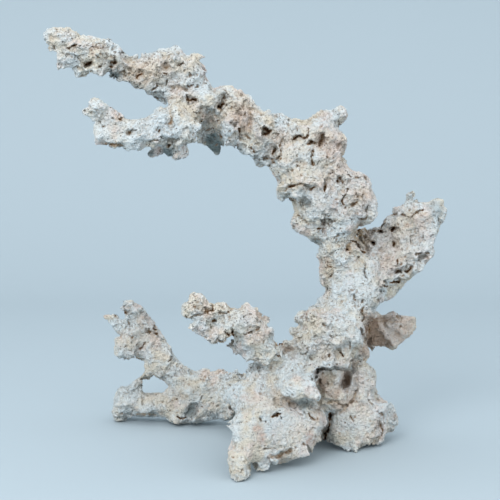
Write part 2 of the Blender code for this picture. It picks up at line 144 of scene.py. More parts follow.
# The rock's skin. The rock is one natural piece of dry limestone that corals and worms built. Its
# branches are first joined over the saw cuts into one closed skin, and they part again at the end, along
# the same forks.
MM = 0.001
JOIN_SWELL = 0.35
COARSE_GRAIN = 1.5
FINE_GRAIN = 1.15


def apply_modifier(obj, kind, **settings):
    """Adds a modifier with these settings and applies it."""
    modifier = obj.modifiers.new(kind.lower(), kind)
    for name, value in settings.items():
        setattr(modifier, name, value)
    pick(obj)
    bpy.ops.object.modifier_apply(modifier=modifier.name)


def places(mesh):
    """The mesh's points in millimetres, one row each."""
    flat = np.empty(len(mesh.vertices) * 3, np.float32)
    mesh.vertices.foreach_get("co", flat)
    return flat.reshape(-1, 3).astype(float) / MM


def outward(mesh):
    """The direction out of the rock at each point."""
    flat = np.empty(len(mesh.vertices) * 3, np.float32)
    mesh.vertex_normals.foreach_get("vector", flat)
    return flat.reshape(-1, 3).astype(float)


def put(mesh, points):
    """Moves the mesh's points to these places in millimetres."""
    mesh.vertices.foreach_set("co", (points * MM).astype(np.float32).ravel())
    mesh.update()


def edges_of(mesh):
    """The two point numbers of each edge."""
    flat = np.empty(len(mesh.edges) * 2, np.int32)
    mesh.edges.foreach_get("vertices", flat)
    return flat.reshape(-1, 2)


def spread(values, ends, rounds, pull=0.5):
    """Evens out values over the skin: each round moves a point part of the way to its neighbours' mean."""
    a, b = ends[:, 0], ends[:, 1]
    count = len(values)
    share = np.maximum(np.bincount(a, minlength=count) + np.bincount(b, minlength=count), 1)
    columns = values.reshape(count, -1)
    for _ in range(rounds):
        sums = []
        for c in columns.T:
            from_b = np.bincount(a, weights=c[b], minlength=count)
            from_a = np.bincount(b, weights=c[a], minlength=count)
            sums.append(from_b + from_a)
        columns = columns + pull * (np.stack(sums, axis=1) / share[:, None] - columns)
    return columns.reshape(values.shape)


rough = []
for name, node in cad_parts.items():
    copy = bpy.data.objects.new("rough_" + name, node.data.copy())
    bpy.context.scene.collection.objects.link(copy)
    rough.append(copy)
pick(*rough)
bpy.ops.object.mode_set(mode="EDIT")
bpy.ops.mesh.select_all(action="SELECT")
bpy.ops.mesh.remove_doubles(threshold=1e-6)
bpy.ops.object.mode_set(mode="OBJECT")
bpy.ops.object.join()
skin = bpy.context.object
skin.name = "rock_skin"
skin.data.materials.clear()
apply_modifier(skin, "DISPLACE", strength=JOIN_SWELL * MM, mid_level=0.0)
apply_modifier(skin, "REMESH", mode="VOXEL", voxel_size=COARSE_GRAIN * MM)
put(skin.data, spread(places(skin.data), edges_of(skin.data), 4))


# Lumps and ledges. The rock grew in knobs a thumb or a pea wide with creases between them, and in thin
# crusts, one over another, whose broken edges stand out as ledges.
def clouds(points, size, seed, octaves=1):
    """Smooth noise from about -1 to 1, with swells of this size in millimetres."""
    total = np.zeros(len(points))
    for k in range(octaves):
        scaled = (points * (2**k / size) + seed * 7.31).tolist()
        total += np.array([noise.noise(p) for p in scaled]) * 0.5**k
    return total


def billows(points, size, seed, octaves=3):
    """Rounded knobs from about -1 to 1, with sharp creases between them."""
    total = np.zeros(len(points))
    for k in range(octaves):
        total += (np.abs(clouds(points, size / 2**k, seed + k)) * 4 - 1) * 0.5**k
    return total


def cells(points, size, seed):
    """How far the two nearest cell middles are, in cell sizes, and the nearest one's lot from 0 to 1."""
    near, second, lots = [], [], []
    for p in (points / size + seed * 5.17).tolist():
        distances, middles = noise.voronoi(p)
        near.append(distances[0])
        second.append(distances[1])
        lots.append(noise.cell(middles[0] * 91.7))
    return np.array(near), np.array(second), np.array(lots)


def ramp(values, low, high):
    """0 below low, 1 above high and a smooth rise between them."""
    t = np.clip((values - low) / (high - low), 0, 1)
    return t * t * (3 - 2 * t)


def strayed(values, points, size, reach, seeds, octaves=2):
    """Values that wander off by up to about this reach, in swells of this size in millimetres."""
    return values + np.stack([clouds(points, size, seed, octaves) for seed in seeds], axis=1) * reach


def raise_skin(height):
    """Lifts each point of the skin by its height in millimetres, straight out."""
    put(skin.data, places(skin.data) + outward(skin.data) * height[:, None])


# The upright grid. The photograph's forms are placed on an upright plane through the rock's middle, each
# on the line of sight that it is seen along. A chart holds a value for each half millimetre of that grid,
# and its left and lower edges lie this many millimetres from the grid's origin.
GRID = Vector((-0.0093, -0.0118, 0.0))
CELL = 0.5
LEFT, BELOW = -245.0, -60.0
WIDE, TALL = 980, 1110


def on_grid(points):
    """Where lines of sight through these points cross the upright grid: (across, up) in millimetres."""
    eye, grid = np.array(EYE) / MM, np.array(GRID) / MM
    reach = (grid[1] - eye[1]) / (points[:, 1] - eye[1])
    crossing = eye + (points - eye) * reach[:, None]
    return np.stack([crossing[:, 0] - grid[0], crossing[:, 2] - grid[2]], axis=1)


def cell_of(flat):
    """The row and column of the chart that each spot falls in."""
    row = np.clip((flat[:, 1] - BELOW) / CELL, 0, TALL - 1).astype(int)
    column = np.clip((flat[:, 0] - LEFT) / CELL, 0, WIDE - 1).astype(int)
    return row, column


def look_up(chart, flat):
    """The chart's value at each spot."""
    row, column = cell_of(flat)
    return chart[row, column]


def ovals(places_of):
    """A chart of soft-edged ellipses: each a middle, a half width, a half height and a strength."""
    chart = np.zeros((TALL, WIDE))
    for across, up, half_width, half_height, strength in places_of:
        x = (LEFT + (np.arange(WIDE) + 0.5) * CELL - across) / half_width
        z = (BELOW + (np.arange(TALL) + 0.5) * CELL - up)[:, None] / half_height
        chart = np.maximum(chart, (1 - ramp(np.hypot(x, z), 0.55, 1.3)) * strength)
    return chart


# The worn faces. Some faces of the rock are broken or worn smoother than the rest, so its coarse form is
# calmed there first. Knobs and ledges then rise all over it, lower on those faces and at the thin tips of
# the branches.
CALM_STEPS = 4
CALM_ROUNDS = 220
SMOOTHER = [
    (28, 12, 50, 40, 1.0), (-85, 58, 60, 26, 0.8), (-104, 110, 18, 24, 0.8), (-120, 366, 44, 18, 0.5),
    (118, 188, 26, 30, 0.4), (130, 40, 38, 32, 0.85), (0, 66, 32, 20, 0.8), (56, 74, 28, 20, 0.8),
    (168, 138, 28, 20, 0.8), (58, 335, 20, 14, 0.5), (135, 82, 18, 22, 0.7), (204, 258, 20, 24, 0.4),
]
smoother_chart = ovals(SMOOTHER)

calm = look_up(smoother_chart, on_grid(places(skin.data)))
group = skin.vertex_groups.new(name="calm")
for step in range(1, CALM_STEPS + 1):
    chosen = np.where(np.round(ramp(calm, 0.5, 1.0) * CALM_STEPS) == step)[0]
    group.add(chosen.tolist(), step / CALM_STEPS, "REPLACE")
apply_modifier(skin, "SMOOTH", factor=0.5, iterations=CALM_ROUNDS, vertex_group="calm")
skin.vertex_groups.clear()
spots = places(skin.data)
tips = ((spread(spots, edges_of(skin.data), 40) - spots) * outward(skin.data)).sum(1)
stout = 0.25 + 0.75 * ramp(tips, -5.0, -1.2)
warped = strayed(spots, spots, 14, 6, (1, 2, 3), octaves=3)
knobby = ramp(clouds(spots, 45, 4), -0.35, 0.35)
near, second, lots = cells(warped, 21, 5)
plates = (lots - 0.5) * 3.0 * ramp(second - near, 0.0, 0.12)
near, second, lots = cells(warped, 10, 6)
chips = (lots - 0.5) * 1.6 * ramp(second - near, 0.0, 0.16)
knobs = billows(warped, 24, 21, 2)
relief = stout * (1 - 0.75 * look_up(smoother_chart, on_grid(spots)))
raise_skin((plates * (1 - 0.6 * knobby) + chips + knobs * (0.4 + 0.6 * knobby)) * relief + 0.4)

# The outline. Broken ends, knobs and notches give the rock its outline, so the skin is pulled across and
# up, near its rim only, until its outline from the front is the real one. Points are (across, up) in
# millimetres on the upright grid, clockwise round the rock and through its crooks.
OUTLINE = [
    # Top of the upper arm
    (-222.5, 468), (-221, 471), (-218.5, 472), (-217.5, 475), (-214, 475), (-211, 476.5), (-206, 476),
    (-203, 477), (-200, 476), (-198, 475), (-196, 477.5), (-193, 477), (-190, 474.5), (-188, 472),
    (-184, 471.5), (-182, 469), (-180, 467), (-177.5, 468.5), (-176, 469), (-174.5, 467), (-171, 467.5),
    (-166, 466.5), (-160, 464.5), (-155, 463.5), (-151, 464), (-149, 465), (-147, 463), (-145, 460.5),
    (-141, 458.5), (-138, 456.5), (-135, 453), (-132, 449), (-129, 446), (-126, 444.5), (-122, 446),
    (-118, 447.5), (-112, 448.5), (-106, 448.5), (-101, 449), (-98, 450.5), (-96, 452.5), (-93, 453.5),
    (-86, 453.5), (-82, 454.5), (-79, 456.5), (-76, 457), (-73, 456.5), (-70, 454), (-67, 450), (-65, 447),
    (-62, 445.5), (-60, 447.5), (-57, 448.5), (-52, 448.5), (-49, 447), (-45, 445.5), (-43, 443.5),
    (-43.5, 442), (-47, 442), (-49, 440.5), (-49, 438.5), (-46, 437), (-44, 434), (-42, 431), (-41, 428),
    (-42, 425), (-43, 423.5), (-41, 421), (-39, 418.5), (-37.5, 415.5), (-35.5, 411.5), (-33, 409.8),
    # Top of the arch
    (-30, 411.5), (-27, 412.5), (-20, 413), (-14, 413), (-12, 412), (-10.5, 409.5), (-7, 408.5), (-4, 409),
    (-2, 407), (0, 404.5), (2, 403.2), (5, 403.5), (7, 402), (9, 399), (11, 395.5), (12.5, 392),
    (15, 390.5), (17.5, 389.5), (19, 387), (20.5, 385), (23, 385.5), (27, 386.8), (28.7, 386.5),
    (29, 384.5), (31, 382.7), (34, 382), (37, 382.5), (41, 383), (44, 381.5), (47, 379), (50, 377.5),
    (53, 376.5), (57, 377), (60, 376.5), (63, 375.5), (67, 375), (70, 376.5), (74, 379), (78, 382),
    (82, 385), (85, 386), (90, 386.5), (94, 386), (98, 387), (101, 389), (104, 390.5), (107, 391),
    (110, 390), (112, 387.5), (114, 384), (115, 381), (115, 378.5), (113, 375), (111, 372.5), (109, 370.5),
    (106, 367.5), (104, 365.5), (106, 363.5), (109, 361.5), (111, 359), (113, 356), (114.5, 352),
    (114.5, 348), (113, 343), (111.5, 338), (110, 333.5), (113, 331), (114, 329.5), (114, 327), (115, 325),
    (117, 322.5), (120, 319.5), (124, 318.5), (130, 317.5), (133, 315.5), (136, 313.5), (139, 311),
    (141, 307), (142.5, 303), (142.5, 299), (144.5, 295), (146.5, 290), (148.5, 285), (149.5, 280),
    (149, 275), (149.5, 270), (149, 268), (147, 265.5), (145, 262.5), (142, 259.5), (139, 258),
    (136.5, 257.5),
    # Right branch
    (138, 255.5), (142, 253.5), (144.5, 255.5), (150, 255.5), (152, 257), (154, 260), (156, 264),
    (158, 267), (161, 268.5), (163, 270), (165, 271), (165, 274), (164.5, 276.5), (166, 278), (170, 279),
    (174, 279.5), (176, 281), (178, 282.5), (179.5, 285), (180, 289), (180, 293), (181.5, 294.5),
    (184, 295), (186.5, 296), (188.5, 296), (190, 294.5), (191, 293), (190.5, 290), (192, 288.5),
    (193.5, 287), (193.5, 284.2), (196, 283.8), (200, 283.8), (206, 284), (208, 285.5), (211, 287),
    (214, 288), (217, 288.5), (220, 287.3), (223, 286.5), (223, 284), (222.5, 281), (224, 279), (226, 277),
    (227, 276), (226.5, 273), (226.5, 270), (225.5, 267), (224.5, 264), (223.5, 261.5), (222, 259.5),
    (220, 258), (219, 256), (218.5, 253.5), (217.5, 250.5), (216.5, 247), (214.5, 243), (213.5, 239),
    (212.5, 235), (212.5, 231), (214, 228), (213.5, 225), (212.5, 222.5), (210, 220), (207, 217),
    (204, 213), (202, 210.5), (201.5, 207), (199.5, 205.5), (196, 203.5), (192, 200.5), (189, 198),
    (186, 195), (183, 194), (181.5, 192.5), (180.5, 190), (179, 187.5), (176, 184.5), (173.5, 181.5),
    (171, 178.5), (168, 175.5), (165, 173), (161, 171.5), (157, 170.5), (154, 168.5), (151, 165.5),
    (149, 163), (149, 161),
    # Back fin
    (151, 159), (154, 156.5), (157, 155.5), (160, 157), (163, 159.5), (167, 160.5), (170, 160), (172, 158),
    (174, 156.5), (177, 155.7), (180, 155.3), (184, 154.7), (189, 154.2), (192.5, 154.2), (194, 152),
    (194.5, 149), (194, 144), (194.5, 140), (192, 137), (190, 133.5), (187, 130), (183, 128), (180, 124.5),
    (177, 122), (174, 120), (173, 117.5), (171, 115.5), (168, 115), (165, 115.5), (163, 117), (160, 118.5),
    (155, 119), (151, 119.5), (148, 119), (147, 116.5),
    # Base, from the right foot to the front foot
    (145, 114), (142, 113), (142, 110), (142, 107), (140, 105), (138.5, 102), (141, 99.5), (144, 97),
    (147, 94.5), (149, 92), (150, 88), (150, 83), (150, 78), (149.5, 73), (150.5, 70), (152, 66.5),
    (154, 63), (156, 60.5), (159, 58), (163, 56), (167, 55), (170, 52), (171.5, 49), (173, 45), (173.5, 41),
    (175.5, 37), (176.5, 33), (176, 29), (173, 26), (171.5, 22), (171, 20), (167, 19.5), (163, 18.5),
    (160.5, 15), (160.5, 12), (160, 10), (158, 7.5), (155, 5.5), (150, 4.5), (145, 4.5), (140, 4), (136, 3),
    (133, 1.5), (131, -0.5), (130, -3), (126, -3), (122, -2.5), (118, -3.5), (115, -2.5), (112, 1),
    (109, 2.5), (106, 3.5), (103, 4.5), (100, 6.5), (97, 7), (94, 9), (90, 10.5), (86, 8.3), (82, 6),
    (80, 3.5), (79, 0), (77.5, -3.5), (75, -6.5), (72, -8.5), (68, -10), (62, -11), (57, -12), (54, -14),
    (50, -16), (44, -17), (38, -18.5), (34, -18.5), (30, -18.5), (29, -21), (28, -24), (24, -25.5),
    (20, -26.5), (17, -26), (12, -25.5), (7, -26), (6.5, -28.5), (7.5, -30.5), (4, -34), (0, -36.5),
    (-4, -38.5), (-8, -39.5), (-11, -38.5), (-14, -36.5), (-17, -33), (-18, -28), (-18.5, -22),
    (-19.5, -16), (-21, -13), (-19, -9), (-20, -5), (-20, 0), (-18, 4), (-16.5, 8), (-15, 12), (-14.5, 16),
    (-15, 20), (-17, 23), (-20, 26), (-21.5, 29), (-21, 31),
    # Low left branch, its foot and its end
    (-22, 32.5), (-25, 33), (-28, 34.5), (-31, 35), (-36, 34), (-42, 32.5), (-48, 31), (-54, 30),
    (-60, 29.5), (-66, 30), (-71, 29.5), (-76, 29), (-81, 29.5), (-85, 31), (-88, 33), (-90, 35.5),
    (-92, 37), (-97, 37.5), (-104, 37), (-112, 37.5), (-120, 37.5), (-126, 38), (-129, 37), (-133, 35),
    (-137, 33.5), (-141, 32), (-146, 32), (-149, 33), (-150.5, 35), (-150.5, 38.5), (-152, 40.5),
    (-152.5, 43.5), (-151, 47), (-150.5, 51), (-150, 56), (-149.5, 60), (-148, 64), (-146.5, 67),
    (-145, 70.5), (-142, 72.5), (-140, 74.5), (-137, 73.5), (-133, 74.5), (-129, 77.5), (-125, 81),
    (-121, 83.5), (-118, 86), (-116, 88.5), (-114, 91), (-114, 93.5), (-115, 96), (-114.5, 99),
    (-114, 102.5),
    # Its fork
    (-116, 102.5), (-119, 103.5), (-122, 105), (-125, 105.5), (-127, 106), (-130, 104.5), (-133, 103.5),
    (-136, 104), (-139, 105), (-142, 105), (-145, 106.5), (-147.5, 109), (-148.5, 112.5), (-148.5, 117),
    (-148, 121), (-147, 124.5), (-148.5, 127), (-147.5, 129), (-145, 131), (-142, 131.5), (-143, 132.5),
    (-145.5, 135), (-148, 138), (-150, 141), (-152, 145), (-155, 148), (-157, 150.5), (-160, 152.5),
    (-160.5, 154.5), (-158, 156), (-154, 156.5), (-150, 156), (-148, 157.5), (-144.5, 156.5), (-142, 154),
    (-141, 151.5), (-139, 151.5), (-137, 150.5), (-136, 152), (-135.5, 155), (-136.5, 158), (-137, 160.5),
    (-140, 160.5), (-141.5, 162.5), (-140.5, 165), (-138, 166.5), (-138.5, 168.5), (-137.5, 171),
    (-135, 173), (-131, 173), (-127, 173.5), (-125, 172), (-123, 169.5), (-120, 168.5), (-117, 167),
    (-114, 164.5), (-112, 161.5), (-110, 158.5), (-107, 154.5), (-104, 151), (-102, 148.5), (-100.5, 146),
    (-99.5, 143), (-97.5, 140.5), (-95, 138.5), (-95, 136.5), (-92.5, 133.5), (-90, 130), (-88, 126.5),
    (-86, 123), (-85, 120.5), (-83, 120), (-82.5, 117), (-82, 114), (-80, 111), (-78, 108), (-76, 105),
    (-73, 102.5), (-70, 100), (-67, 97.5), (-64, 95.5), (-60, 93),
    # Top of the low left branch
    (-57, 91.5), (-53, 92), (-50, 93.5), (-47, 94.5), (-43.5, 95), (-41, 94), (-39, 92.5), (-38, 91),
    (-36, 91), (-33, 92), (-31, 93), (-28, 94.5), (-25, 94), (-23, 93), (-21, 92), (-19, 90.5), (-14, 90),
    (-12.5, 91.5), (-11, 93.5), (-8.5, 94), (-7, 92), (-6.5, 90), (-5, 88.5), (-2.5, 88), (-1, 89.5),
    (0.5, 91.5), (2.5, 93.5), (4, 95), (3.5, 97.5), (2.5, 100.5), (1, 103), (-1, 105), (-3, 107),
    (-5, 108.5), (-5.5, 110), (-7, 110), (-9.5, 109),
    # Front left branch
    (-12, 110), (-13.5, 112.5), (-14, 115.5), (-16, 117.5), (-18.5, 118), (-20.5, 120), (-22.5, 121.5),
    (-23, 123.5), (-25, 123.5), (-29, 123), (-33, 122), (-36, 121.5), (-38.5, 122.5), (-41, 124.5),
    (-43.5, 126.5), (-47, 129), (-50, 132), (-53, 132.5), (-56, 134), (-59, 137), (-62, 139),
    (-64.5, 140.5), (-64, 141.5), (-62.5, 144.5), (-61, 147.5), (-60, 150.5), (-62, 151), (-66, 151.5),
    (-69, 153.5), (-71, 155), (-72, 158), (-71.5, 162), (-72, 165), (-71, 167.5), (-69, 169.5), (-66, 171),
    (-63, 173), (-63.5, 175.5), (-62.5, 178), (-61, 181), (-59, 182.5), (-54, 181.5), (-50, 181),
    (-47, 180), (-45, 177.5), (-43, 174.5), (-41, 172), (-39, 170), (-36, 169.5), (-33, 169.5), (-31, 171),
    (-29, 171), (-27, 170), (-25, 171), (-22.5, 171.5), (-20.5, 170), (-19, 167.5), (-17, 165.5),
    (-15, 163.5), (-13, 164.5), (-10, 164.5), (-8, 163), (-5, 164.5), (-3.5, 167), (-1.5, 168.5),
    (0.5, 170.5), (2.5, 170.5), (5, 170), (7, 167.5), (9.5, 165), (12, 164.5), (14, 165.5), (15.5, 163),
    (16, 160), (18, 158.5), (21, 156.5), (22.5, 155), (25, 154.5), (28, 154), (29, 152), (29, 149.5),
    (28, 146.5), (26, 144), (25.5, 142.5), (28, 142), (31, 142.5), (33, 141), (33.5, 138), (34, 134),
    (33, 131.5), (34, 127.5), (34, 126), (36.5, 124), (39, 123.5), (42, 123.5), (43, 125), (44, 127),
    (46, 127.5), (48, 127.5), (50, 126.5), (52, 126.5), (53.5, 128.5), (55.5, 129.8),
    # Trunk
    (53, 131.5), (51, 133.5), (50, 136), (49.5, 138.5), (50, 140.5), (52, 142.5), (54, 142.5), (57, 141.5),
    (59, 141.5), (60, 143), (59, 144.5), (57, 146.5), (55.5, 149.5), (56, 152.5), (57.5, 156),
    (59.5, 158.5), (61, 160.5), (64, 161.5), (67, 161.5), (70.5, 161), (71.5, 163.5), (73, 165.5),
    (76, 167.5), (79, 168), (81, 170), (81, 173.5), (83, 175.5), (85, 177), (88, 178.5), (89, 180.5),
    (90.5, 183), (91.5, 185.5), (89, 187), (86, 190), (84.5, 193), (83.5, 198), (83, 203), (83, 208),
    (83.5, 211), (83.5, 215), (83, 218.5), (81, 220), (80, 223), (81, 225.5), (82, 228), (82, 231),
    (84, 233.5),
    # Underside of the arch
    (83, 234.5), (80, 236), (77, 237.5), (74, 239), (72, 241.5), (70, 243), (67, 245), (64, 246.5),
    (60, 248), (57, 249.5), (54.5, 251.5), (52.5, 255), (51, 259), (51.2, 263), (53, 267), (54.5, 271),
    (54.5, 275), (53.5, 279), (53, 283), (51, 284), (49.5, 286), (48, 288), (46, 287), (44, 284.5),
    (42, 283.5), (40, 284.5), (37, 286.5), (35.5, 289.5), (35.5, 293), (35, 297), (36, 301), (36, 304),
    (35.5, 308), (34, 310), (32, 312.5), (30, 316.5), (28.5, 319), (27, 321.5), (25, 323.5), (22, 323.5),
    (19, 322), (16, 321.5), (13, 323), (11.5, 325.5), (10.5, 329), (9, 331.5), (7, 333), (5, 335.5),
    (1, 335.5), (-3, 336.5), (-5.5, 338.5), (-6, 341), (-10, 342.5), (-13, 345), (-17, 346), (-21, 345.5),
    (-23, 344.5), (-26, 347), (-26.5, 340), (-28, 336.5), (-31, 335), (-34, 337), (-37, 341), (-40, 344),
    (-44, 346.5), (-50, 348.5),
    # Lower arm
    (-54, 349.5), (-60, 349), (-62.5, 348), (-64, 346), (-62, 342), (-61.5, 338), (-63, 334), (-66, 332),
    (-70, 331.5), (-73, 331), (-75, 329), (-78, 330), (-80, 332), (-83, 333), (-86, 335), (-89, 337),
    (-92, 336.5), (-95, 335), (-98, 334), (-101, 333.5), (-104, 332.5), (-107, 334), (-108.5, 337),
    (-107.5, 340), (-105, 342), (-105, 344.5), (-108, 345), (-112, 343), (-115, 341), (-118, 340),
    (-121, 341.5), (-126, 341), (-130, 339.5), (-133, 341.5), (-136, 344), (-140, 344.5), (-144, 342.5),
    (-147, 343), (-150, 344.5), (-152, 346.5), (-158, 347), (-164, 347), (-167.5, 348.5), (-166.5, 351),
    (-167, 357), (-168.5, 361.5), (-168, 366), (-167.5, 371.5), (-170, 374), (-172, 377.5), (-177, 379),
    (-180, 381.5), (-181, 384), (-179, 387), (-176, 388.5), (-172.5, 390), (-173.5, 392.5), (-173, 395),
    (-171, 398), (-168, 399.5), (-164, 399.5), (-160, 398), (-155, 394.5), (-150, 391), (-145, 388),
    (-140, 384.5), (-136, 382), (-133.5, 379.5), (-132, 376.5), (-129, 375.8), (-124, 375.5), (-119, 376),
    (-115, 376.5), (-112, 377), (-108, 378.5), (-104, 381.5), (-101, 382.5), (-101.5, 385.5), (-99, 387.5),
    (-96, 389.5), (-93, 390.5), (-91, 392),
    # Underside of the upper arm
    (-91, 393.5), (-93, 394.5), (-95, 395.5), (-97, 396.5), (-99, 398), (-101, 399.5), (-103, 401.5),
    (-105, 402.5), (-107, 401.5), (-109, 404), (-111, 407.5), (-113, 408.3), (-118, 408.3), (-121, 409),
    (-124, 411.5), (-127, 414.5), (-130, 416.5), (-135, 417), (-138, 416), (-141, 417), (-144, 419),
    (-148, 421), (-151, 423), (-153, 425.5), (-155, 423), (-158, 422), (-161, 422.5), (-164, 424.5),
    (-168, 425), (-170, 427), (-172, 424.5), (-174, 423), (-177, 421.5), (-181, 421.5), (-184, 420.5),
    (-186, 421), (-188, 424), (-188.5, 427), (-190, 430), (-192, 432), (-195, 432), (-199, 431),
    (-203, 430), (-207, 430), (-207.5, 434), (-207.5, 449), (-210, 450), (-215, 449.5), (-216.5, 452),
    (-216.5, 457), (-219, 459), (-221, 463),
]
WINDOW = [
    (-115.5, 82), (-116, 77), (-116.5, 72), (-116, 68), (-114, 66.5), (-110, 66.5), (-106, 66),
    (-102, 66.5), (-98, 66.5), (-94, 66), (-92, 67.5), (-91, 69.5), (-88.5, 71.5), (-87, 73), (-89, 75.5),
    (-91, 78), (-94, 80), (-97, 82), (-100, 83), (-102.5, 84.5), (-104, 85), (-106, 83.5), (-108, 81.5),
    (-110, 80.5), (-113, 81),
]


def filled(outline):
    """A chart that is 1 inside a closed outline."""
    inside = np.zeros((TALL, WIDE), bool)
    heights = BELOW + (np.arange(TALL) + 0.5) * CELL
    for (x0, z0), (x1, z1) in zip(outline, outline[1:] + outline[:1]):
        rows = np.where((heights > min(z0, z1)) & (heights <= max(z0, z1)))[0]
        for row in rows:
            crossing = x0 + (heights[row] - z0) / (z1 - z0) * (x1 - x0)
            inside[row, max(int(math.ceil((crossing - LEFT) / CELL - 0.5)), 0) :] ^= True
    return inside.astype(float)


def blurred(chart, width):
    """The chart with each cell spread over its surroundings, this many millimetres wide."""
    up, across = np.fft.fftfreq(TALL, CELL)[:, None], np.fft.rfftfreq(WIDE, CELL)
    fade = np.exp(-2 * (math.pi * width) ** 2 * (up**2 + across**2))
    return np.fft.irfft2(np.fft.rfft2(chart) * fade, chart.shape)


RIM_STEP = 1.2


def rim_of(outline):
    """Points along a closed outline, one each step, and the direction out of the stone at each."""
    corners = np.array(outline + outline[:1], float)
    lengths = np.concatenate([[0], np.cumsum(np.linalg.norm(np.diff(corners, axis=0), axis=1))])
    along = np.arange(0, lengths[-1], RIM_STEP)
    rim = np.stack([np.interp(along, lengths, corners[:, k]) for k in (0, 1)], axis=1)
    way = np.roll(rim, -2, axis=0) - np.roll(rim, 2, axis=0)
    way /= np.maximum(np.linalg.norm(way, axis=1), 1e-6)[:, None]
    return rim, np.stack([-way[:, 1], way[:, 0]], axis=1)


rims = [rim_of(OUTLINE), rim_of(WINDOW)]
rim = np.concatenate([r for r, _ in rims])
rim_out = np.concatenate([out for _, out in rims])
stone_seen = filled(OUTLINE) - filled(WINDOW) > 0.5
STRIDE = 0.25
FARTHEST = 20
strides = np.arange(STRIDE, FARTHEST, STRIDE)
beyond = np.array([look_up(stone_seen, rim + rim_out * s) for s in strides + 0.75])
within = np.array([~look_up(stone_seen, rim - rim_out * s) for s in strides + 0.75])
room_out = np.where(beyond.any(0), strides[beyond.argmax(0)], FARTHEST) / 2
room_in = np.where(within.any(0), strides[within.argmax(0)], FARTHEST) / 2


def fit_outline(width, most):
    """Pulls the skin near its rim until it fills the outline, in a band this wide, by this much at most."""
    spots, ends = places(skin.data), edges_of(skin.data)
    flat = on_grid(spots)
    covered = np.zeros((TALL, WIDE), bool)
    for share in (0, 0.25, 0.5, 0.75):
        row, column = cell_of(flat[ends[:, 0]] * (1 - share) + flat[ends[:, 1]] * share)
        covered[row, column] = True
    for turn in (0, 1):
        covered |= np.roll(covered, 1, turn) | np.roll(covered, -1, turn)
    reach = -np.minimum(room_in, most)
    for s in np.arange(-most, most + 0.01, STRIDE):
        there = look_up(covered, rim + rim_out * s) & (s <= room_out) & (s >= -room_in)
        reach = np.where(there, s, reach)
    reach = np.median([np.roll(reach, k) for k in (-1, 0, 1)], axis=0)
    pull = -(reach - CELL)[:, None] * rim_out
    row, column = cell_of(rim)
    charts = []
    for amount in (np.ones(len(rim)), pull[:, 0], pull[:, 1]):
        chart = np.zeros((TALL, WIDE))
        np.add.at(chart, (row, column), amount)
        charts.append(blurred(chart, width))
    on_rim = CELL**2 / RIM_STEP / (width * math.sqrt(2 * math.pi))
    strength = np.clip(charts[0] / (0.55 * on_rim), 0, 1) / np.maximum(charts[0], 1e-6 * on_rim)
    depth_share = (spots[:, 1] - EYE.y / MM) / ((GRID.y - EYE.y) / MM)
    spots[:, 0] += look_up(charts[1] * strength, flat) * depth_share
    spots[:, 2] += look_up(charts[2] * strength, flat) * depth_share * ramp(spots[:, 2], 0.4, 3.0)
    low, high = (np.array(corner) / MM for corner in cad_box)
    slack = 1.2
    inner = high - slack
    spots = np.where(spots > inner, high - slack * np.exp(np.minimum(inner - spots, 0) / slack), spots)
    low = low + np.array([0, 0, -slack])
    inner = low + slack
    spots = np.where(spots < inner, low + slack * np.exp(np.minimum(spots - low - slack, 0) / slack), spots)
    spots[:, 2] = np.maximum(spots[:, 2], 0)
    put(skin.data, spots)


for width, most in ((7, 9), (5, 7), (3.5, 5), (2.5, 4), (2.0, 3)):
    fit_outline(width, most)

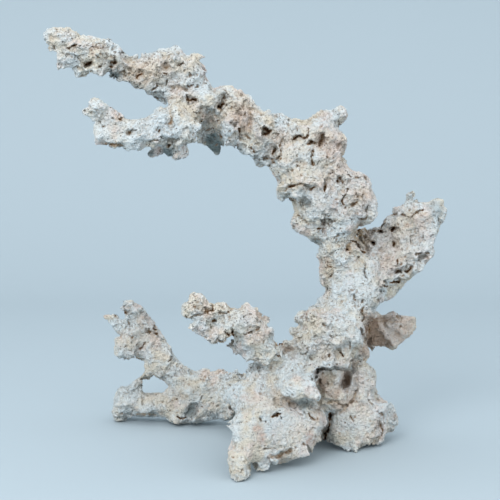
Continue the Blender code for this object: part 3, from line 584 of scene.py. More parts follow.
# Holes and cracks. Boring worms and sponges left them in the rock. Those that the photograph shows lie on
# the same grid, each a line of points with half its width and its depth in millimetres and its darkness,
# from 0 to 1, which paints brown stain and painted shade into the hole. A single point makes a round hole.
HOLES = [
    # Upper arm, its left part
    ([(-175, 434), (-172, 436), (-168.5, 438.5)], 2.2, 9, 1.0),
    ([(-147, 437), (-146, 438), (-143, 437.5)], 2.3, 10, 1.0), ([(-147, 433)], 1.8, 8, 1.0),
    ([(-143, 440), (-144, 445)], 1.2, 4, 0.6), ([(-173, 425), (-170, 428)], 2.0, 7, 0.8),
    ([(-197, 466)], 1.3, 4, 0.7), ([(-201, 460)], 1.3, 4, 0.6), ([(-189, 456), (-186, 456.5)], 1.3, 5, 0.8),
    ([(-181, 456)], 1.2, 4, 0.7), ([(-195, 453), (-191, 454.5)], 1.3, 5, 0.7),
    ([(-172, 456.5)], 1.2, 4, 0.7), ([(-213, 455), (-209, 453)], 1.2, 5, 0.7),
    ([(-200, 448), (-195, 444)], 0.9, 3, 0.4), ([(-187, 446), (-182, 441)], 0.9, 3, 0.4),
    ([(-179, 445.5), (-177, 445.5)], 1.1, 3, 0.5), ([(-164, 446)], 1.1, 4, 0.7),
    ([(-161.5, 443)], 1.5, 4, 0.8), ([(-151, 445.5)], 1.2, 3, 0.4),
    ([(-168, 455), (-160, 454), (-155, 454)], 1.2, 3, 0.35), ([(-160, 433), (-158, 433.5)], 1.3, 4, 0.6),
    ([(-178, 422.5)], 1.3, 4, 0.8), ([(-138, 426)], 1.3, 5, 0.7), ([(-138, 449), (-133, 448)], 1.0, 3, 0.5),
    # Upper arm, its right part
    ([(-133, 428)], 1.5, 4, 0.8), ([(-133, 423.5)], 1.5, 4, 0.8), ([(-128, 424), (-127, 426)], 1.3, 4, 0.6),
    ([(-119, 421), (-117, 424), (-115, 425), (-113, 426)], 2.2, 7, 0.9),
    ([(-117, 428), (-114, 429)], 1.2, 4, 0.6), ([(-110, 433)], 1.3, 4, 0.6),
    ([(-106, 442), (-103, 442)], 1.2, 3, 0.5), ([(-107, 419)], 1.2, 3, 0.5), ([(-115, 415)], 1.3, 4, 0.6),
    ([(-88.5, 426), (-86, 425)], 1.5, 5, 0.9), ([(-89, 437), (-86, 437)], 1.2, 4, 0.5),
    ([(-88, 432), (-85, 433)], 1.8, 4, 0.5),
    ([(-103, 407), (-101, 408.5), (-99, 409.5), (-97, 411)], 1.3, 8, 0.9),
    ([(-97, 411), (-96, 414)], 1.2, 4, 0.6), ([(-87, 412), (-85, 418)], 1.5, 5, 0.6),
    ([(-80, 411), (-72, 411), (-66, 409)], 2.5, 5, 0.35), ([(-65, 408)], 1.8, 6, 0.8),
    ([(-64, 413), (-62, 411)], 1.2, 4, 0.6), ([(-59, 412), (-57, 413)], 1.0, 4, 0.8),
    ([(-54, 411), (-51, 412)], 1.1, 4, 0.8), ([(-73, 434), (-68, 437)], 1.1, 5, 1.0),
    ([(-66, 436)], 1.2, 3, 0.5), ([(-73, 447)], 1.1, 4, 0.7), ([(-66, 429)], 1.2, 3, 0.4),
    ([(-52, 428)], 1.2, 3, 0.4), ([(-43, 415)], 1.2, 3, 0.4), ([(-81, 407)], 1.2, 3, 0.5),
    ([(-64, 397), (-61, 396), (-58, 397.5), (-54, 396.5)], 1.8, 9, 1.0),
    ([(-65, 403), (-63, 399)], 0.9, 4, 0.7), ([(-62, 395), (-61, 392)], 0.9, 4, 0.7),
    ([(-57, 394)], 1.2, 4, 0.6), ([(-58, 386.5)], 1.2, 5, 0.8),
    ([(-56, 383.5), (-53, 382), (-49, 382.5)], 1.3, 8, 0.9), ([(-53, 376.5)], 1.2, 4, 0.7),
    ([(-49, 372), (-47, 374)], 1.3, 7, 1.0), ([(-43, 378), (-41, 381), (-38, 384)], 1.6, 4, 0.45),
    ([(-98, 399), (-96, 398)], 1.1, 4, 0.7),
    # Lower arm
    ([(-82, 383), (-82, 380), (-81, 376), (-82, 372)], 1.8, 5, 0.5),
    ([(-84, 371), (-80, 372)], 2.0, 5, 0.5), ([(-147, 377)], 1.2, 4, 0.8),
    ([(-139, 376), (-137, 374.5)], 1.4, 4, 0.8), ([(-136, 377)], 1.2, 4, 0.7), ([(-133, 377)], 1.2, 4, 0.7),
    ([(-177, 383), (-177, 386)], 1.0, 3, 0.5), ([(-157.5, 368), (-154.5, 368.5)], 1.2, 4, 0.7),
    ([(-160, 372)], 1.2, 3, 0.4), ([(-166, 372)], 1.2, 3, 0.4),
    ([(-129, 360.5), (-126, 361.5)], 1.8, 5, 0.55), ([(-126, 363), (-120, 363)], 0.9, 3, 0.4),
    ([(-95, 361.5), (-94, 364)], 1.2, 4, 0.8), ([(-72, 381)], 1.2, 3, 0.4), ([(-116, 366.5)], 1.2, 3, 0.4),
    ([(-136, 369)], 1.2, 3, 0.4), ([(-91, 354.5)], 1.5, 5, 0.9),
    ([(-105, 351), (-98, 352), (-92, 351.5)], 1.1, 4, 0.5), ([(-158, 348), (-150, 348)], 1.8, 5, 0.6),
    ([(-148, 348), (-141, 347)], 2.5, 5, 0.6), ([(-138, 348), (-134, 344)], 1.8, 5, 0.6),
    ([(-86, 345), (-83, 347)], 1.6, 6, 0.8),
    # Arch, its left part
    ([(-21, 407), (-20, 404)], 1.5, 4, 0.6), ([(-22, 402), (-24, 398), (-25, 394)], 1.5, 6, 0.7),
    ([(-29, 390), (-27, 389), (-25, 391), (-24, 392)], 2.2, 10, 1.0),
    ([(-26, 386), (-27, 382)], 0.9, 3, 0.5), ([(-20, 391)], 1.3, 4, 0.6), ([(-4, 380)], 1.6, 5, 0.8),
    ([(0.5, 382), (2, 385)], 1.6, 5, 0.7), ([(-4, 386)], 1.4, 4, 0.6), ([(-8, 372)], 1.3, 4, 0.6),
    ([(-15, 371)], 1.3, 4, 0.7), ([(-11, 369)], 1.3, 4, 0.7), ([(0, 394)], 1.2, 3, 0.6),
    ([(-7, 398)], 1.2, 3, 0.6), ([(-3, 402)], 1.1, 3, 0.5),
    ([(4, 388), (7, 380), (6, 372), (4, 366), (7, 360)], 2.0, 4, 0.4),
    ([(-6, 365), (-5.5, 361)], 1.3, 8, 1.0), ([(-3, 357.5)], 1.3, 4, 0.8),
    ([(-5, 360), (-4, 352)], 1.0, 3, 0.5), ([(-28, 361), (-26, 354)], 1.2, 4, 0.6),
    ([(17.8, 382)], 1.3, 5, 0.8), ([(2, 357), (6, 354)], 1.2, 4, 0.6), ([(4, 345), (8, 343)], 1.2, 4, 0.5),
    ([(10, 340), (13, 339)], 1.3, 4, 0.7), ([(11, 332), (14, 331)], 1.3, 4, 0.7),
    ([(17, 330)], 1.2, 3, 0.6), ([(20, 333.5)], 1.2, 4, 0.7), ([(15, 326)], 1.4, 3, 0.5),
    ([(22, 332), (27, 332), (31, 330.5), (36, 332)], 1.5, 6, 0.7),
    ([(35, 333), (38, 334), (40, 332.5)], 2.0, 6, 0.7), ([(30, 327.5), (33, 328)], 1.6, 9, 1.0),
    ([(27, 323), (29, 326)], 1.3, 6, 0.8),
    # Arch, its right part
    ([(22, 359), (26, 360)], 3.0, 11, 1.0), ([(23, 365), (27, 362)], 3.2, 11, 1.0),
    ([(31, 359), (39, 359)], 1.5, 3, 0.25),
    ([(42, 354), (40, 350), (39, 345), (40, 340), (39, 335), (36, 333)], 1.5, 8, 0.8),
    ([(34, 343), (32, 340), (31, 337)], 2.2, 9, 0.9),
    ([(54, 353), (58, 356), (61, 357), (64, 355), (68, 355), (70, 358)], 1.7, 9, 1.0),
    ([(70, 358), (71, 366)], 0.9, 3, 0.5), ([(49, 375)], 1.3, 4, 0.5), ([(35, 371)], 1.3, 4, 0.5),
    ([(71, 348), (74, 351)], 2.0, 9, 1.0), ([(74, 350), (80, 349)], 1.5, 5, 0.6),
    ([(87, 358), (85, 353), (83, 347)], 3.2, 8, 0.6),
    ([(76, 340), (75, 334), (75, 328), (77, 325)], 1.7, 8, 0.85), ([(59, 323.5)], 1.6, 6, 0.9),
    ([(91, 308), (91, 305), (90, 301), (89, 296)], 1.4, 8, 0.85),
    ([(104, 307), (106, 310), (109, 306)], 2.2, 13, 1.0), ([(50, 301), (53, 301), (56, 302)], 1.6, 9, 1.0),
    ([(58, 303), (63, 304), (68, 302), (72, 300)], 1.2, 5, 0.6),
    ([(73, 298), (76, 299), (79, 300)], 1.8, 9, 1.0), ([(45, 296), (47, 298)], 1.8, 6, 0.7),
    ([(104, 368), (106, 373)], 1.2, 3, 0.4), ([(57, 370), (59, 362)], 0.9, 3, 0.35),
    ([(88, 334)], 1.2, 4, 0.6), ([(92, 334)], 1.2, 4, 0.6), ([(92, 324)], 1.2, 4, 0.6),
    ([(88, 322)], 1.2, 4, 0.6), ([(81, 325)], 1.2, 4, 0.6), ([(108, 360)], 1.2, 4, 0.6),
    ([(111, 347)], 1.2, 4, 0.6),
    # Shoulder
    ([(116, 314), (119, 312)], 1.2, 4, 0.6), ([(124, 311), (129, 310)], 1.2, 4, 0.6),
    ([(133, 313), (135, 311)], 1.2, 4, 0.6), ([(50, 288), (57, 285), (62, 282)], 1.5, 5, 0.6),
    ([(59, 269), (62, 268)], 1.2, 4, 0.7), ([(66, 263), (70, 260)], 1.2, 3, 0.4),
    ([(86, 262.5)], 1.7, 7, 0.9), ([(88, 269), (94, 267.5)], 1.0, 4, 0.8),
    ([(96, 263), (101, 262.5)], 1.6, 8, 1.0), ([(82, 253), (86, 254), (89, 253)], 1.7, 7, 0.8),
    ([(90, 266), (89, 258), (88, 250)], 1.2, 4, 0.4), ([(83, 250)], 1.2, 3, 0.5),
    ([(115, 298), (113, 293), (110, 288), (109, 284), (111, 280)], 1.4, 7, 0.9),
    ([(112, 277)], 1.3, 6, 0.8), ([(117, 278)], 1.4, 5, 0.7),
    ([(120, 280), (124, 282), (127, 285)], 1.8, 7, 0.7), ([(126, 289.5)], 1.3, 4, 0.7),
    ([(131, 290), (133, 294)], 1.2, 4, 0.7), ([(132, 297)], 1.2, 4, 0.7), ([(125, 292)], 1.2, 4, 0.7),
    ([(138, 280), (136, 276), (137, 270), (137, 266), (133, 264), (128, 265), (126, 266)], 1.2, 5, 0.5),
    ([(119, 240), (124, 239)], 1.5, 5, 1.0), ([(126, 238), (129, 232), (133, 227)], 1.5, 5, 0.9),
    ([(134, 226)], 2.5, 6, 1.0), ([(117, 237), (116, 232), (115, 230), (118, 230)], 1.8, 8, 1.0),
    ([(128, 221)], 1.6, 5, 0.9), ([(97, 224)], 2.0, 3, 0.3), ([(100, 243), (104, 246)], 1.2, 4, 0.6),
    ([(93, 242)], 1.2, 4, 0.6), ([(111, 247)], 1.1, 3, 0.5), ([(106, 246)], 1.1, 3, 0.5),
    ([(75, 241), (82, 242), (88, 238)], 2.0, 4, 0.5),
    # Right branch
    ([(128, 244), (133, 244), (136, 243), (136, 247)], 1.1, 5, 0.8),
    ([(142, 239), (145, 237)], 2.0, 10, 1.0), ([(144, 251), (150, 251), (153, 251)], 1.8, 8, 1.0),
    ([(153, 254), (156, 260), (158, 265)], 1.3, 4, 0.5),
    ([(149, 249), (156, 250), (160, 251)], 0.9, 4, 0.5), ([(165, 252), (167, 254)], 2.4, 10, 1.0),
    ([(173, 252)], 1.3, 3, 0.6), ([(168, 238), (167, 234)], 1.5, 6, 0.9), ([(172, 233)], 1.2, 5, 0.9),
    ([(166, 270), (170, 270)], 1.2, 6, 0.7), ([(176, 270), (180, 268)], 1.2, 6, 0.7),
    ([(183, 267), (186, 266), (189, 269), (191, 271), (196, 274), (200, 275)], 1.2, 6, 0.7),
    ([(184, 263)], 1.2, 3, 0.5), ([(191, 256), (191, 252)], 0.9, 3, 0.35),
    ([(200, 246), (200, 243)], 1.0, 4, 0.6), ([(209, 245), (214, 248)], 1.2, 3, 0.4),
    ([(211.5, 272.5)], 1.3, 4, 0.6), ([(213, 269), (218, 265), (219, 261)], 1.0, 3, 0.4),
    ([(193, 225), (198, 225), (202, 226), (208, 226)], 1.2, 6, 0.7), ([(196, 219)], 1.3, 4, 0.7),
    ([(172, 218), (172, 214)], 1.1, 5, 0.9), ([(164.5, 208.5)], 1.2, 4, 0.8), ([(168, 228)], 1.2, 3, 0.4),
    ([(169.5, 204.5), (172, 205.5)], 2.6, 9, 0.9),
    ([(172, 205.5), (178, 204.5), (183, 205), (185.5, 207), (187.5, 210.5)], 1.7, 9, 0.9),
    ([(157, 194), (160, 192.5), (165, 192.5), (170, 193.5), (174, 193)], 1.6, 9, 1.0),
    ([(157, 189), (161, 188.5)], 1.3, 7, 1.0), ([(153, 187.5), (155, 188)], 1.3, 5, 0.7),
    ([(154, 186), (154, 182)], 1.2, 5, 0.7), ([(151, 175), (151, 171)], 1.3, 4, 0.5),
    ([(176, 195)], 1.2, 3, 0.5), ([(174, 197)], 1.2, 3, 0.5), ([(137, 215), (135, 212)], 1.5, 6, 0.9),
    ([(136, 210), (135, 205), (137, 200), (138, 197)], 1.0, 4, 0.5),
    # Trunk
    ([(92, 213), (96, 211), (100, 209.5), (102, 208)], 1.0, 5, 0.9), ([(99, 203), (97, 199)], 1.2, 5, 0.9),
    ([(88, 218)], 1.2, 3, 0.5), ([(123, 178), (123, 174), (125, 172)], 1.0, 5, 0.9),
    ([(133, 170)], 1.3, 5, 0.9), ([(82, 166)], 1.2, 4, 0.7), ([(88, 145), (92, 143)], 1.1, 5, 0.9),
    ([(134, 164), (132, 158), (136, 152), (133, 149)], 1.5, 5, 0.6), ([(57, 134)], 1.2, 4, 0.9),
    ([(60, 135)], 1.2, 4, 0.9), ([(62, 129)], 1.2, 4, 0.9), ([(66, 148)], 1.1, 4, 0.7),
    ([(70, 152)], 1.1, 4, 0.7), ([(75, 151)], 1.1, 4, 0.7), ([(79, 154)], 1.1, 4, 0.7),
    ([(79, 148)], 1.1, 4, 0.7), ([(66, 152)], 1.1, 3, 0.6), ([(70, 156)], 1.1, 3, 0.6),
    ([(96, 132), (101, 131), (108, 133)], 1.0, 4, 0.5),
    # Front left branch
    ([(-37, 169), (-36, 165), (-35, 162)], 1.0, 6, 0.7),
    ([(-44, 162), (-40, 161), (-35, 161)], 1.4, 7, 0.8), ([(-42, 161), (-41, 156)], 1.3, 6, 0.7),
    ([(-49, 156), (-46, 158), (-43, 160)], 1.2, 5, 0.6),
    ([(-67, 154), (-62, 152), (-57, 155), (-50, 156)], 1.0, 5, 0.6), ([(-52, 163)], 1.0, 3, 0.6),
    ([(-28, 159), (-27, 156)], 1.2, 4, 0.5), ([(-27, 157), (-20, 158)], 1.2, 4, 0.5),
    ([(-18, 159)], 1.3, 6, 0.9), ([(-17, 165), (-14, 162)], 2.0, 4, 0.4), ([(-1, 153)], 1.3, 4, 0.6),
    ([(6, 157)], 1.2, 3, 0.4), ([(9, 154)], 1.3, 4, 0.8), ([(-37, 147), (-34, 149)], 2.2, 7, 0.7),
    ([(-40, 145), (-38, 142)], 1.3, 6, 0.7), ([(-59, 143)], 1.5, 3, 0.3),
    ([(-20, 134), (-17, 132)], 1.8, 9, 1.0), ([(-14, 135), (-13, 132)], 1.8, 9, 1.0),
    ([(-23, 137), (-19, 134)], 0.9, 4, 0.6), ([(-15, 140), (-14, 136)], 0.9, 4, 0.6),
    ([(-12, 139), (-14, 136)], 0.9, 4, 0.6), ([(-10, 134), (-6, 135)], 0.9, 4, 0.6),
    ([(0, 133), (5, 135), (11, 137), (15, 139), (17, 141)], 1.3, 6, 0.8),
    ([(-49, 132), (-42, 130)], 1.0, 4, 0.6), ([(-31, 127)], 1.3, 5, 0.9),
    ([(-29, 125), (-25, 125)], 1.1, 4, 0.8), ([(-13, 119)], 1.2, 4, 0.6),
    ([(22, 126), (21, 123)], 1.2, 3, 0.5), ([(-4, 87), (0, 84)], 1.5, 8, 0.9), ([(-19, 86)], 1.2, 4, 0.6),
    ([(16, 91)], 1.2, 4, 0.6), ([(21, 92)], 1.2, 4, 0.6), ([(7, 95)], 1.2, 4, 0.6),
    # Foot of the trunk and the cave below it
    ([(34, 125), (36, 121)], 2.0, 8, 0.8), ([(39, 122), (43, 122)], 1.8, 8, 0.9),
    ([(37, 109), (41, 108)], 1.5, 6, 0.8), ([(44, 113), (45, 109)], 1.0, 4, 0.7),
    ([(71, 118), (71, 114), (69, 111), (63, 111)], 1.0, 4, 0.6), ([(73, 107), (77, 104)], 1.1, 4, 0.6),
    ([(73, 99)], 1.2, 3, 0.4), ([(87, 107), (92, 107)], 1.2, 5, 0.7), ([(96, 107), (96, 111)], 1.2, 5, 0.8),
    ([(91, 103)], 1.2, 4, 0.6), ([(107, 114), (110, 111), (112, 108), (114, 105)], 1.3, 8, 1.0),
    ([(119, 123), (119, 117)], 1.2, 4, 0.6), ([(105, 99)], 1.5, 5, 0.6), ([(95, 77)], 1.6, 5, 1.0),
    ([(98, 81.5)], 1.4, 5, 1.0), ([(84, 75)], 1.4, 5, 1.0), ([(89, 88)], 1.3, 4, 0.8),
    ([(93, 67)], 1.3, 4, 0.8), ([(128, 106)], 1.3, 4, 0.8), ([(127, 68)], 1.3, 4, 0.8),
    ([(73, 73), (73, 66)], 1.2, 1, 0.1), ([(43, 79), (48, 80)], 1.8, 4, 0.5), ([(54, 92)], 1.2, 4, 0.7),
    ([(34, 81), (39, 82)], 1.0, 3, 0.4),
    # Back fin and the stub below it
    ([(146, 151), (152, 149), (160, 149), (170, 147), (178, 148)], 2.0, 4, 0.35),
    ([(172, 154), (177, 152)], 2.0, 4, 0.6), ([(176, 143)], 1.3, 4, 0.7), ([(134, 117)], 2.5, 5, 0.5),
    ([(144, 117)], 1.6, 5, 0.9), ([(136, 105)], 1.8, 5, 0.8), ([(131, 108)], 1.2, 4, 0.6),
    ([(131, 102)], 1.2, 4, 0.6), ([(118, 93)], 1.3, 4, 0.8), ([(113, 72)], 1.8, 6, 0.9),
    ([(132, 140), (133, 135)], 1.3, 4, 0.6), ([(142, 143), (141, 136)], 1.8, 4, 0.6),
    # Front foot
    ([(-26, 75)], 1.2, 4, 0.7), ([(-30, 76.5)], 1.2, 4, 0.7), ([(-17, 75)], 1.3, 5, 0.9),
    ([(-7, 67.5)], 1.1, 4, 0.7), ([(31, 38), (36, 39)], 1.9, 6, 1.0),
    ([(37, 41.5), (42, 41.5)], 1.4, 5, 0.9), ([(34, 40), (38, 38)], 1.4, 5, 0.9),
    ([(41, 39), (42, 35)], 1.1, 4, 0.6), ([(42, 37)], 1.2, 4, 0.6), ([(18, 36), (19, 33)], 1.0, 4, 0.8),
    ([(24, 32)], 1.2, 4, 0.6), ([(53, 46)], 1.3, 5, 0.9), ([(58, 49)], 1.2, 4, 0.7),
    ([(63, 48), (68, 44), (70, 42)], 0.9, 4, 0.7), ([(73, 43), (75, 38), (80, 34)], 0.9, 5, 0.8),
    ([(30, -10), (38, -8), (45, -6), (50, -2), (53, -2)], 3.0, 9, 0.5),
    ([(26, -9), (29, -14)], 1.5, 5, 0.6), ([(31, -18)], 1.6, 5, 1.0),
    ([(22, 0), (30, 1), (36, 1)], 0.9, 3, 0.4), ([(60, 22)], 1.2, 3, 0.4), ([(47, 13)], 1.2, 3, 0.4),
    # Right foot
    ([(125.5, 37.5)], 1.8, 9, 1.0), ([(121, 38), (124, 33)], 1.0, 4, 0.5), ([(117, 35)], 1.2, 3, 0.5),
    ([(109, 46)], 1.2, 5, 0.8), ([(105, 50.5)], 1.1, 4, 0.5), ([(112, 49)], 1.1, 4, 0.5),
    ([(100, 40), (110, 43), (118, 52), (124, 58), (127, 66), (128, 72)], 3.0, 5, 0.35),
    ([(128, 68.5)], 1.3, 4, 0.7), ([(122, 55)], 1.2, 3, 0.5),
    ([(106, 53), (112, 51), (118, 52)], 1.0, 4, 0.5),
    ([(97, 41), (97, 34), (96.5, 28), (94, 22), (92, 14), (91, 10)], 2.6, 12, 1.1),
    ([(92, 18), (93, 8), (88, 6), (84, 5)], 2.2, 9, 1.1), ([(85, 53), (95, 54), (105, 55)], 2.0, 4, 0.4),
    ([(84, 46)], 1.2, 4, 0.5), ([(86, 48)], 1.2, 4, 0.5),
    ([(155, 32), (156, 27), (158, 22), (157, 15)], 1.6, 6, 0.6), ([(160, 30)], 1.3, 4, 0.5),
    ([(154, 42), (158, 41), (156, 39)], 1.1, 4, 0.5), ([(152, 44)], 1.1, 3, 0.4),
    ([(164, 38)], 1.1, 3, 0.4), ([(141, 58), (145, 53)], 1.0, 3, 0.4),
    # Fork of the low left branch
    ([(-108, 140)], 1.3, 6, 1.0), ([(-109, 137), (-106, 136), (-108, 134)], 1.5, 6, 0.8),
    ([(-103, 140), (-100, 138.5)], 1.2, 5, 0.8), ([(-102, 135), (-99, 133.5)], 1.5, 5, 0.8),
    ([(-109, 132)], 1.2, 4, 0.7), ([(-98, 132), (-94, 128)], 1.0, 5, 0.7),
    ([(-101.5, 143), (-100.5, 146)], 1.2, 5, 0.9), ([(-136, 159), (-134, 158)], 1.8, 5, 0.7),
    ([(-132, 149), (-130.5, 145.5)], 0.9, 4, 0.7), ([(-128, 134), (-126, 131.5), (-128, 129)], 2.0, 6, 0.6),
    ([(-136, 119), (-134, 121)], 1.3, 4, 0.5), ([(-128, 124)], 1.2, 3, 0.4), ([(-134, 126)], 1.2, 3, 0.4),
    ([(-113.5, 124), (-115, 121), (-118, 117), (-120, 115)], 1.3, 5, 0.6),
    ([(-124, 109), (-125, 107)], 1.3, 5, 0.9), ([(-124, 107), (-119, 105), (-114, 105)], 1.4, 5, 0.6),
    ([(-139, 105.5), (-133, 105)], 1.3, 5, 0.8), ([(-147, 155), (-144, 152)], 1.2, 4, 0.6),
    ([(-97, 122.5)], 1.1, 3, 0.5), ([(-96, 119)], 1.1, 3, 0.5), ([(-90, 125)], 1.1, 3, 0.5),
    ([(-87, 102), (-82, 106)], 0.9, 4, 0.6), ([(-87, 107)], 1.1, 4, 0.6), ([(-83, 108)], 1.1, 4, 0.6),
    # Low left branch
    ([(-78, 58.5)], 1.6, 6, 0.9), ([(-75, 62)], 1.2, 4, 0.7), ([(-54, 72.5)], 1.2, 4, 0.8),
    ([(-54, 56)], 1.3, 5, 0.8), ([(-54, 51)], 1.3, 5, 0.8),
    ([(-77, 38), (-74, 36), (-70, 36), (-67, 38)], 1.0, 5, 0.9),
    ([(-128, 41), (-110, 41), (-100, 40)], 1.8, 3, 0.45), ([(-117, 60), (-117, 53)], 1.0, 3, 0.4),
    ([(-105, 56), (-103, 50)], 1.0, 3, 0.4), ([(-42, 38), (-38, 43)], 1.0, 3, 0.4),
    ([(-50, 58), (-47, 64)], 1.0, 3, 0.4), ([(-38, 60)], 1.2, 3, 0.4), ([(-36, 53)], 1.2, 3, 0.4),
    ([(-31, 50)], 1.2, 3, 0.4), ([(-20, 81)], 1.2, 4, 0.5), ([(-2, 85)], 1.2, 4, 0.7),
    ([(-19, 37), (-18, 34)], 1.0, 4, 0.8), ([(-126, 68), (-124, 67)], 1.2, 4, 0.6),
    ([(-118, 82), (-117, 76)], 1.2, 4, 0.6), ([(-133, 42)], 1.2, 3, 0.4),
]
# Hollows are closed outlines, with their depth and darkness; the darkness is painted shade. Blocks are
# crust that stands out, with its height.
HOLLOWS = [
    ([(-152, 431), (-147, 431), (-145, 427), (-143, 424), (-139, 419), (-142, 417), (-148, 421),
      (-152, 425)], 6, 0.5),
    ([(-92, 429), (-84, 429), (-84, 439), (-92, 439)], 3, 0.25),
    ([(-56, 383), (-49, 383), (-47, 380), (-48, 374), (-50, 371), (-52, 372), (-54, 378)], 4, 0.3),
    ([(-90, 352), (-86, 356), (-80, 355), (-77, 353), (-74, 356), (-72, 355), (-72, 351),
      (-80, 351)], 5, 0.4),
    ([(-19, 354), (-15, 353), (-11, 356), (-8, 361), (-11, 362), (-14, 357), (-18, 356)], 5, 0.5),
    ([(60, 285), (66, 288), (70, 288), (75, 283), (74, 278), (70, 276), (66, 277), (64, 281)], 8, 0.45),
    ([(126, 250), (127, 253), (130, 258), (137, 257), (142, 252), (146, 250), (142, 245), (140, 241),
      (136, 236), (140, 231), (137, 228), (131, 230), (128, 236), (125, 242), (125, 247)], 6, 0.1),
    ([(193, 225), (209, 226), (203, 223), (197, 219)], 3, 0.35),
    ([(12, 164), (15, 160), (20, 155), (29, 153), (27, 147), (20, 150), (16, 153)], 4, 0.4),
    ([(-18, 131), (-13, 129), (-12, 124), (-17, 119), (-23, 124), (-20, 127)], 6, 0.4),
    ([(42, 119), (50, 120), (56, 117), (55, 113), (48, 112), (44, 115)], 6, 0.45),
    ([(80, 88), (84, 88), (89, 91), (94, 94), (99, 92), (100, 84), (99, 77), (93, 79), (90, 82), (92, 72),
      (90, 66), (86, 64), (83, 70), (81, 76), (82, 82)], 2, 0.15),
    ([(33, 62), (42, 60), (52, 59), (60, 52), (66, 47), (60, 49), (52, 50), (42, 49), (34, 52)], 4, 0.15),
    ([(113, 91), (119, 90), (119, 74), (112, 70), (109, 78), (111, 84)], 3, 0.5),
    ([(5, -17), (11, -16), (15, -18), (14, -24), (6, -25.5), (4.5, -21)], 7, 0.5),
    ([(148, 13), (155, 15), (157, 12), (152, 6), (143, 5), (142, 9)], 7, 0.5),
    ([(-66, 45), (-64, 50), (-58, 54), (-54, 53), (-52, 48), (-56, 42), (-60, 37), (-66, 37),
      (-68, 40)], 8, 0.55),
]
BLOCKS = [
    ([(41, 74), (40, 66), (44, 61), (52, 60), (66, 49), (72, 50), (80, 53), (85, 57), (86, 62), (84, 68),
      (81, 73), (80, 80), (78, 88), (60, 88), (46, 82)], 9.0),
    ([(28, -11), (36, -12), (46, -11), (54, -6), (50, -12), (42, -17), (32, -18), (27, -15)], 5.0),
    ([(152, 146), (158, 142), (165, 132), (173, 121), (168, 117), (160, 128), (152, 138)], 7.0),
    ([(158, 147), (170, 144), (186, 134), (182, 130), (170, 138), (160, 143)], 4.5),
    ([(156, 160), (170, 162), (174, 157), (172, 153), (164, 152), (156, 155)], 6.0),
    ([(182, 158), (200, 158), (200, 149), (190, 150), (183, 153)], 3.5),
    ([(-84.5, 438), (-84.5, 411), (-66, 409), (-50, 420), (-48, 440), (-62, 446), (-80, 450)], 2.6),
    ([(90, 266), (101, 262), (119, 268), (121, 250), (118, 240), (100, 238), (90, 250)], 3.0),
    ([(131, 149), (138, 143), (139, 130), (138, 120), (124, 124), (112, 134), (110, 146), (120, 150)], 2.4),
    ([(49, 130), (58, 128), (65, 131), (65, 141), (56, 143), (49, 140)], 2.0),
    ([(55, 148), (66, 146), (80, 149), (80, 160), (66, 163), (57, 156)], 2.0),
    ([(52, 252), (63, 249), (66, 258), (63, 269), (54, 270)], 2.0),
    ([(100, 372), (112, 373), (115, 380), (110, 390), (101, 388)], 2.0),
    ([(-46, 371), (-30, 371), (-30, 380), (-45, 380)], 2.2),
    ([(66, 248), (78, 245), (87, 249), (84, 262), (74, 266), (66, 260)], 1.8),
    ([(172, 184), (182, 194), (184, 203), (172, 203), (163, 197), (158, 196)], 2.0),
    ([(200, 262), (212, 270), (222, 276), (222, 287), (206, 284), (197, 274)], 1.8),
    ([(20, 60), (40, 50), (62, 40), (66, 18), (50, 4), (30, 4), (22, 22), (26, 44)], 1.6),
    ([(-150, 34), (-134, 35), (-122, 42), (-124, 60), (-136, 72), (-148, 66)], 1.6),
    ([(-148, 108), (-130, 107), (-122, 112), (-126, 126), (-138, 131), (-147, 128)], 1.6),
]
# Facets are faces that are broken flat, each an outline and how flat it is. The cave is its walls, each
# an outline and how far it lies behind the cave's rim. The first outline is the rim itself.
FACETS = [
    ([(-18, 72), (8, 72), (22, 42), (14, 12), (6, -14), (4, -32), (-8, -38), (-17, -30), (-18, 0),
      (-13, 18), (-18, 30)], 0.3),
    ([(24, 50), (45, 52), (70, 43), (82, 32), (88, 15), (80, 4), (72, -8), (50, -10), (30, -8), (10, -14),
      (4, 12), (8, 50)], 0.8),
    ([(100, 38), (125, 46), (148, 34), (150, 10), (130, 0), (115, -2), (100, 8)], 0.6),
    ([(128, 52), (150, 60), (150, 96), (132, 98)], 0.6),
    ([(156, 146), (198, 152), (198, 140), (176, 116), (168, 116)], 0.8),
    ([(138, 150), (154, 146), (166, 116), (144, 112)], 0.8),
    ([(146, 190), (172, 192), (184, 206), (160, 204), (150, 214), (134, 216), (136, 198)], 0.4),
    ([(118, 196), (138, 192), (152, 178), (140, 160), (118, 164), (108, 186)], 0.4),
]
CAVE = [
    ([(80, 92), (88, 92), (97, 97), (108, 97), (118, 94), (124, 88), (126, 76), (127, 68), (122, 56),
      (114, 49), (100, 48), (88, 52), (83, 60), (86, 72), (80, 80)], 14),
    ([(80, 92), (97, 95), (99, 78), (90, 74), (82, 80)], 10),
    ([(90, 72), (100, 75), (111, 73), (116, 66), (114, 58), (100, 56), (90, 60)], 6),
    ([(86, 56), (112, 56), (114, 49), (90, 50)], 8),
    ([(120, 92), (126, 90), (128, 70), (120, 56), (115, 56), (118, 70), (121, 80)], 6),
    ([(112, 94), (119, 94), (120, 74), (112, 71), (110, 78), (113, 86)], 26),
    ([(97, 97), (106, 97), (114, 93), (112, 84), (108, 76), (101, 75.5), (99, 84)], 2),
]
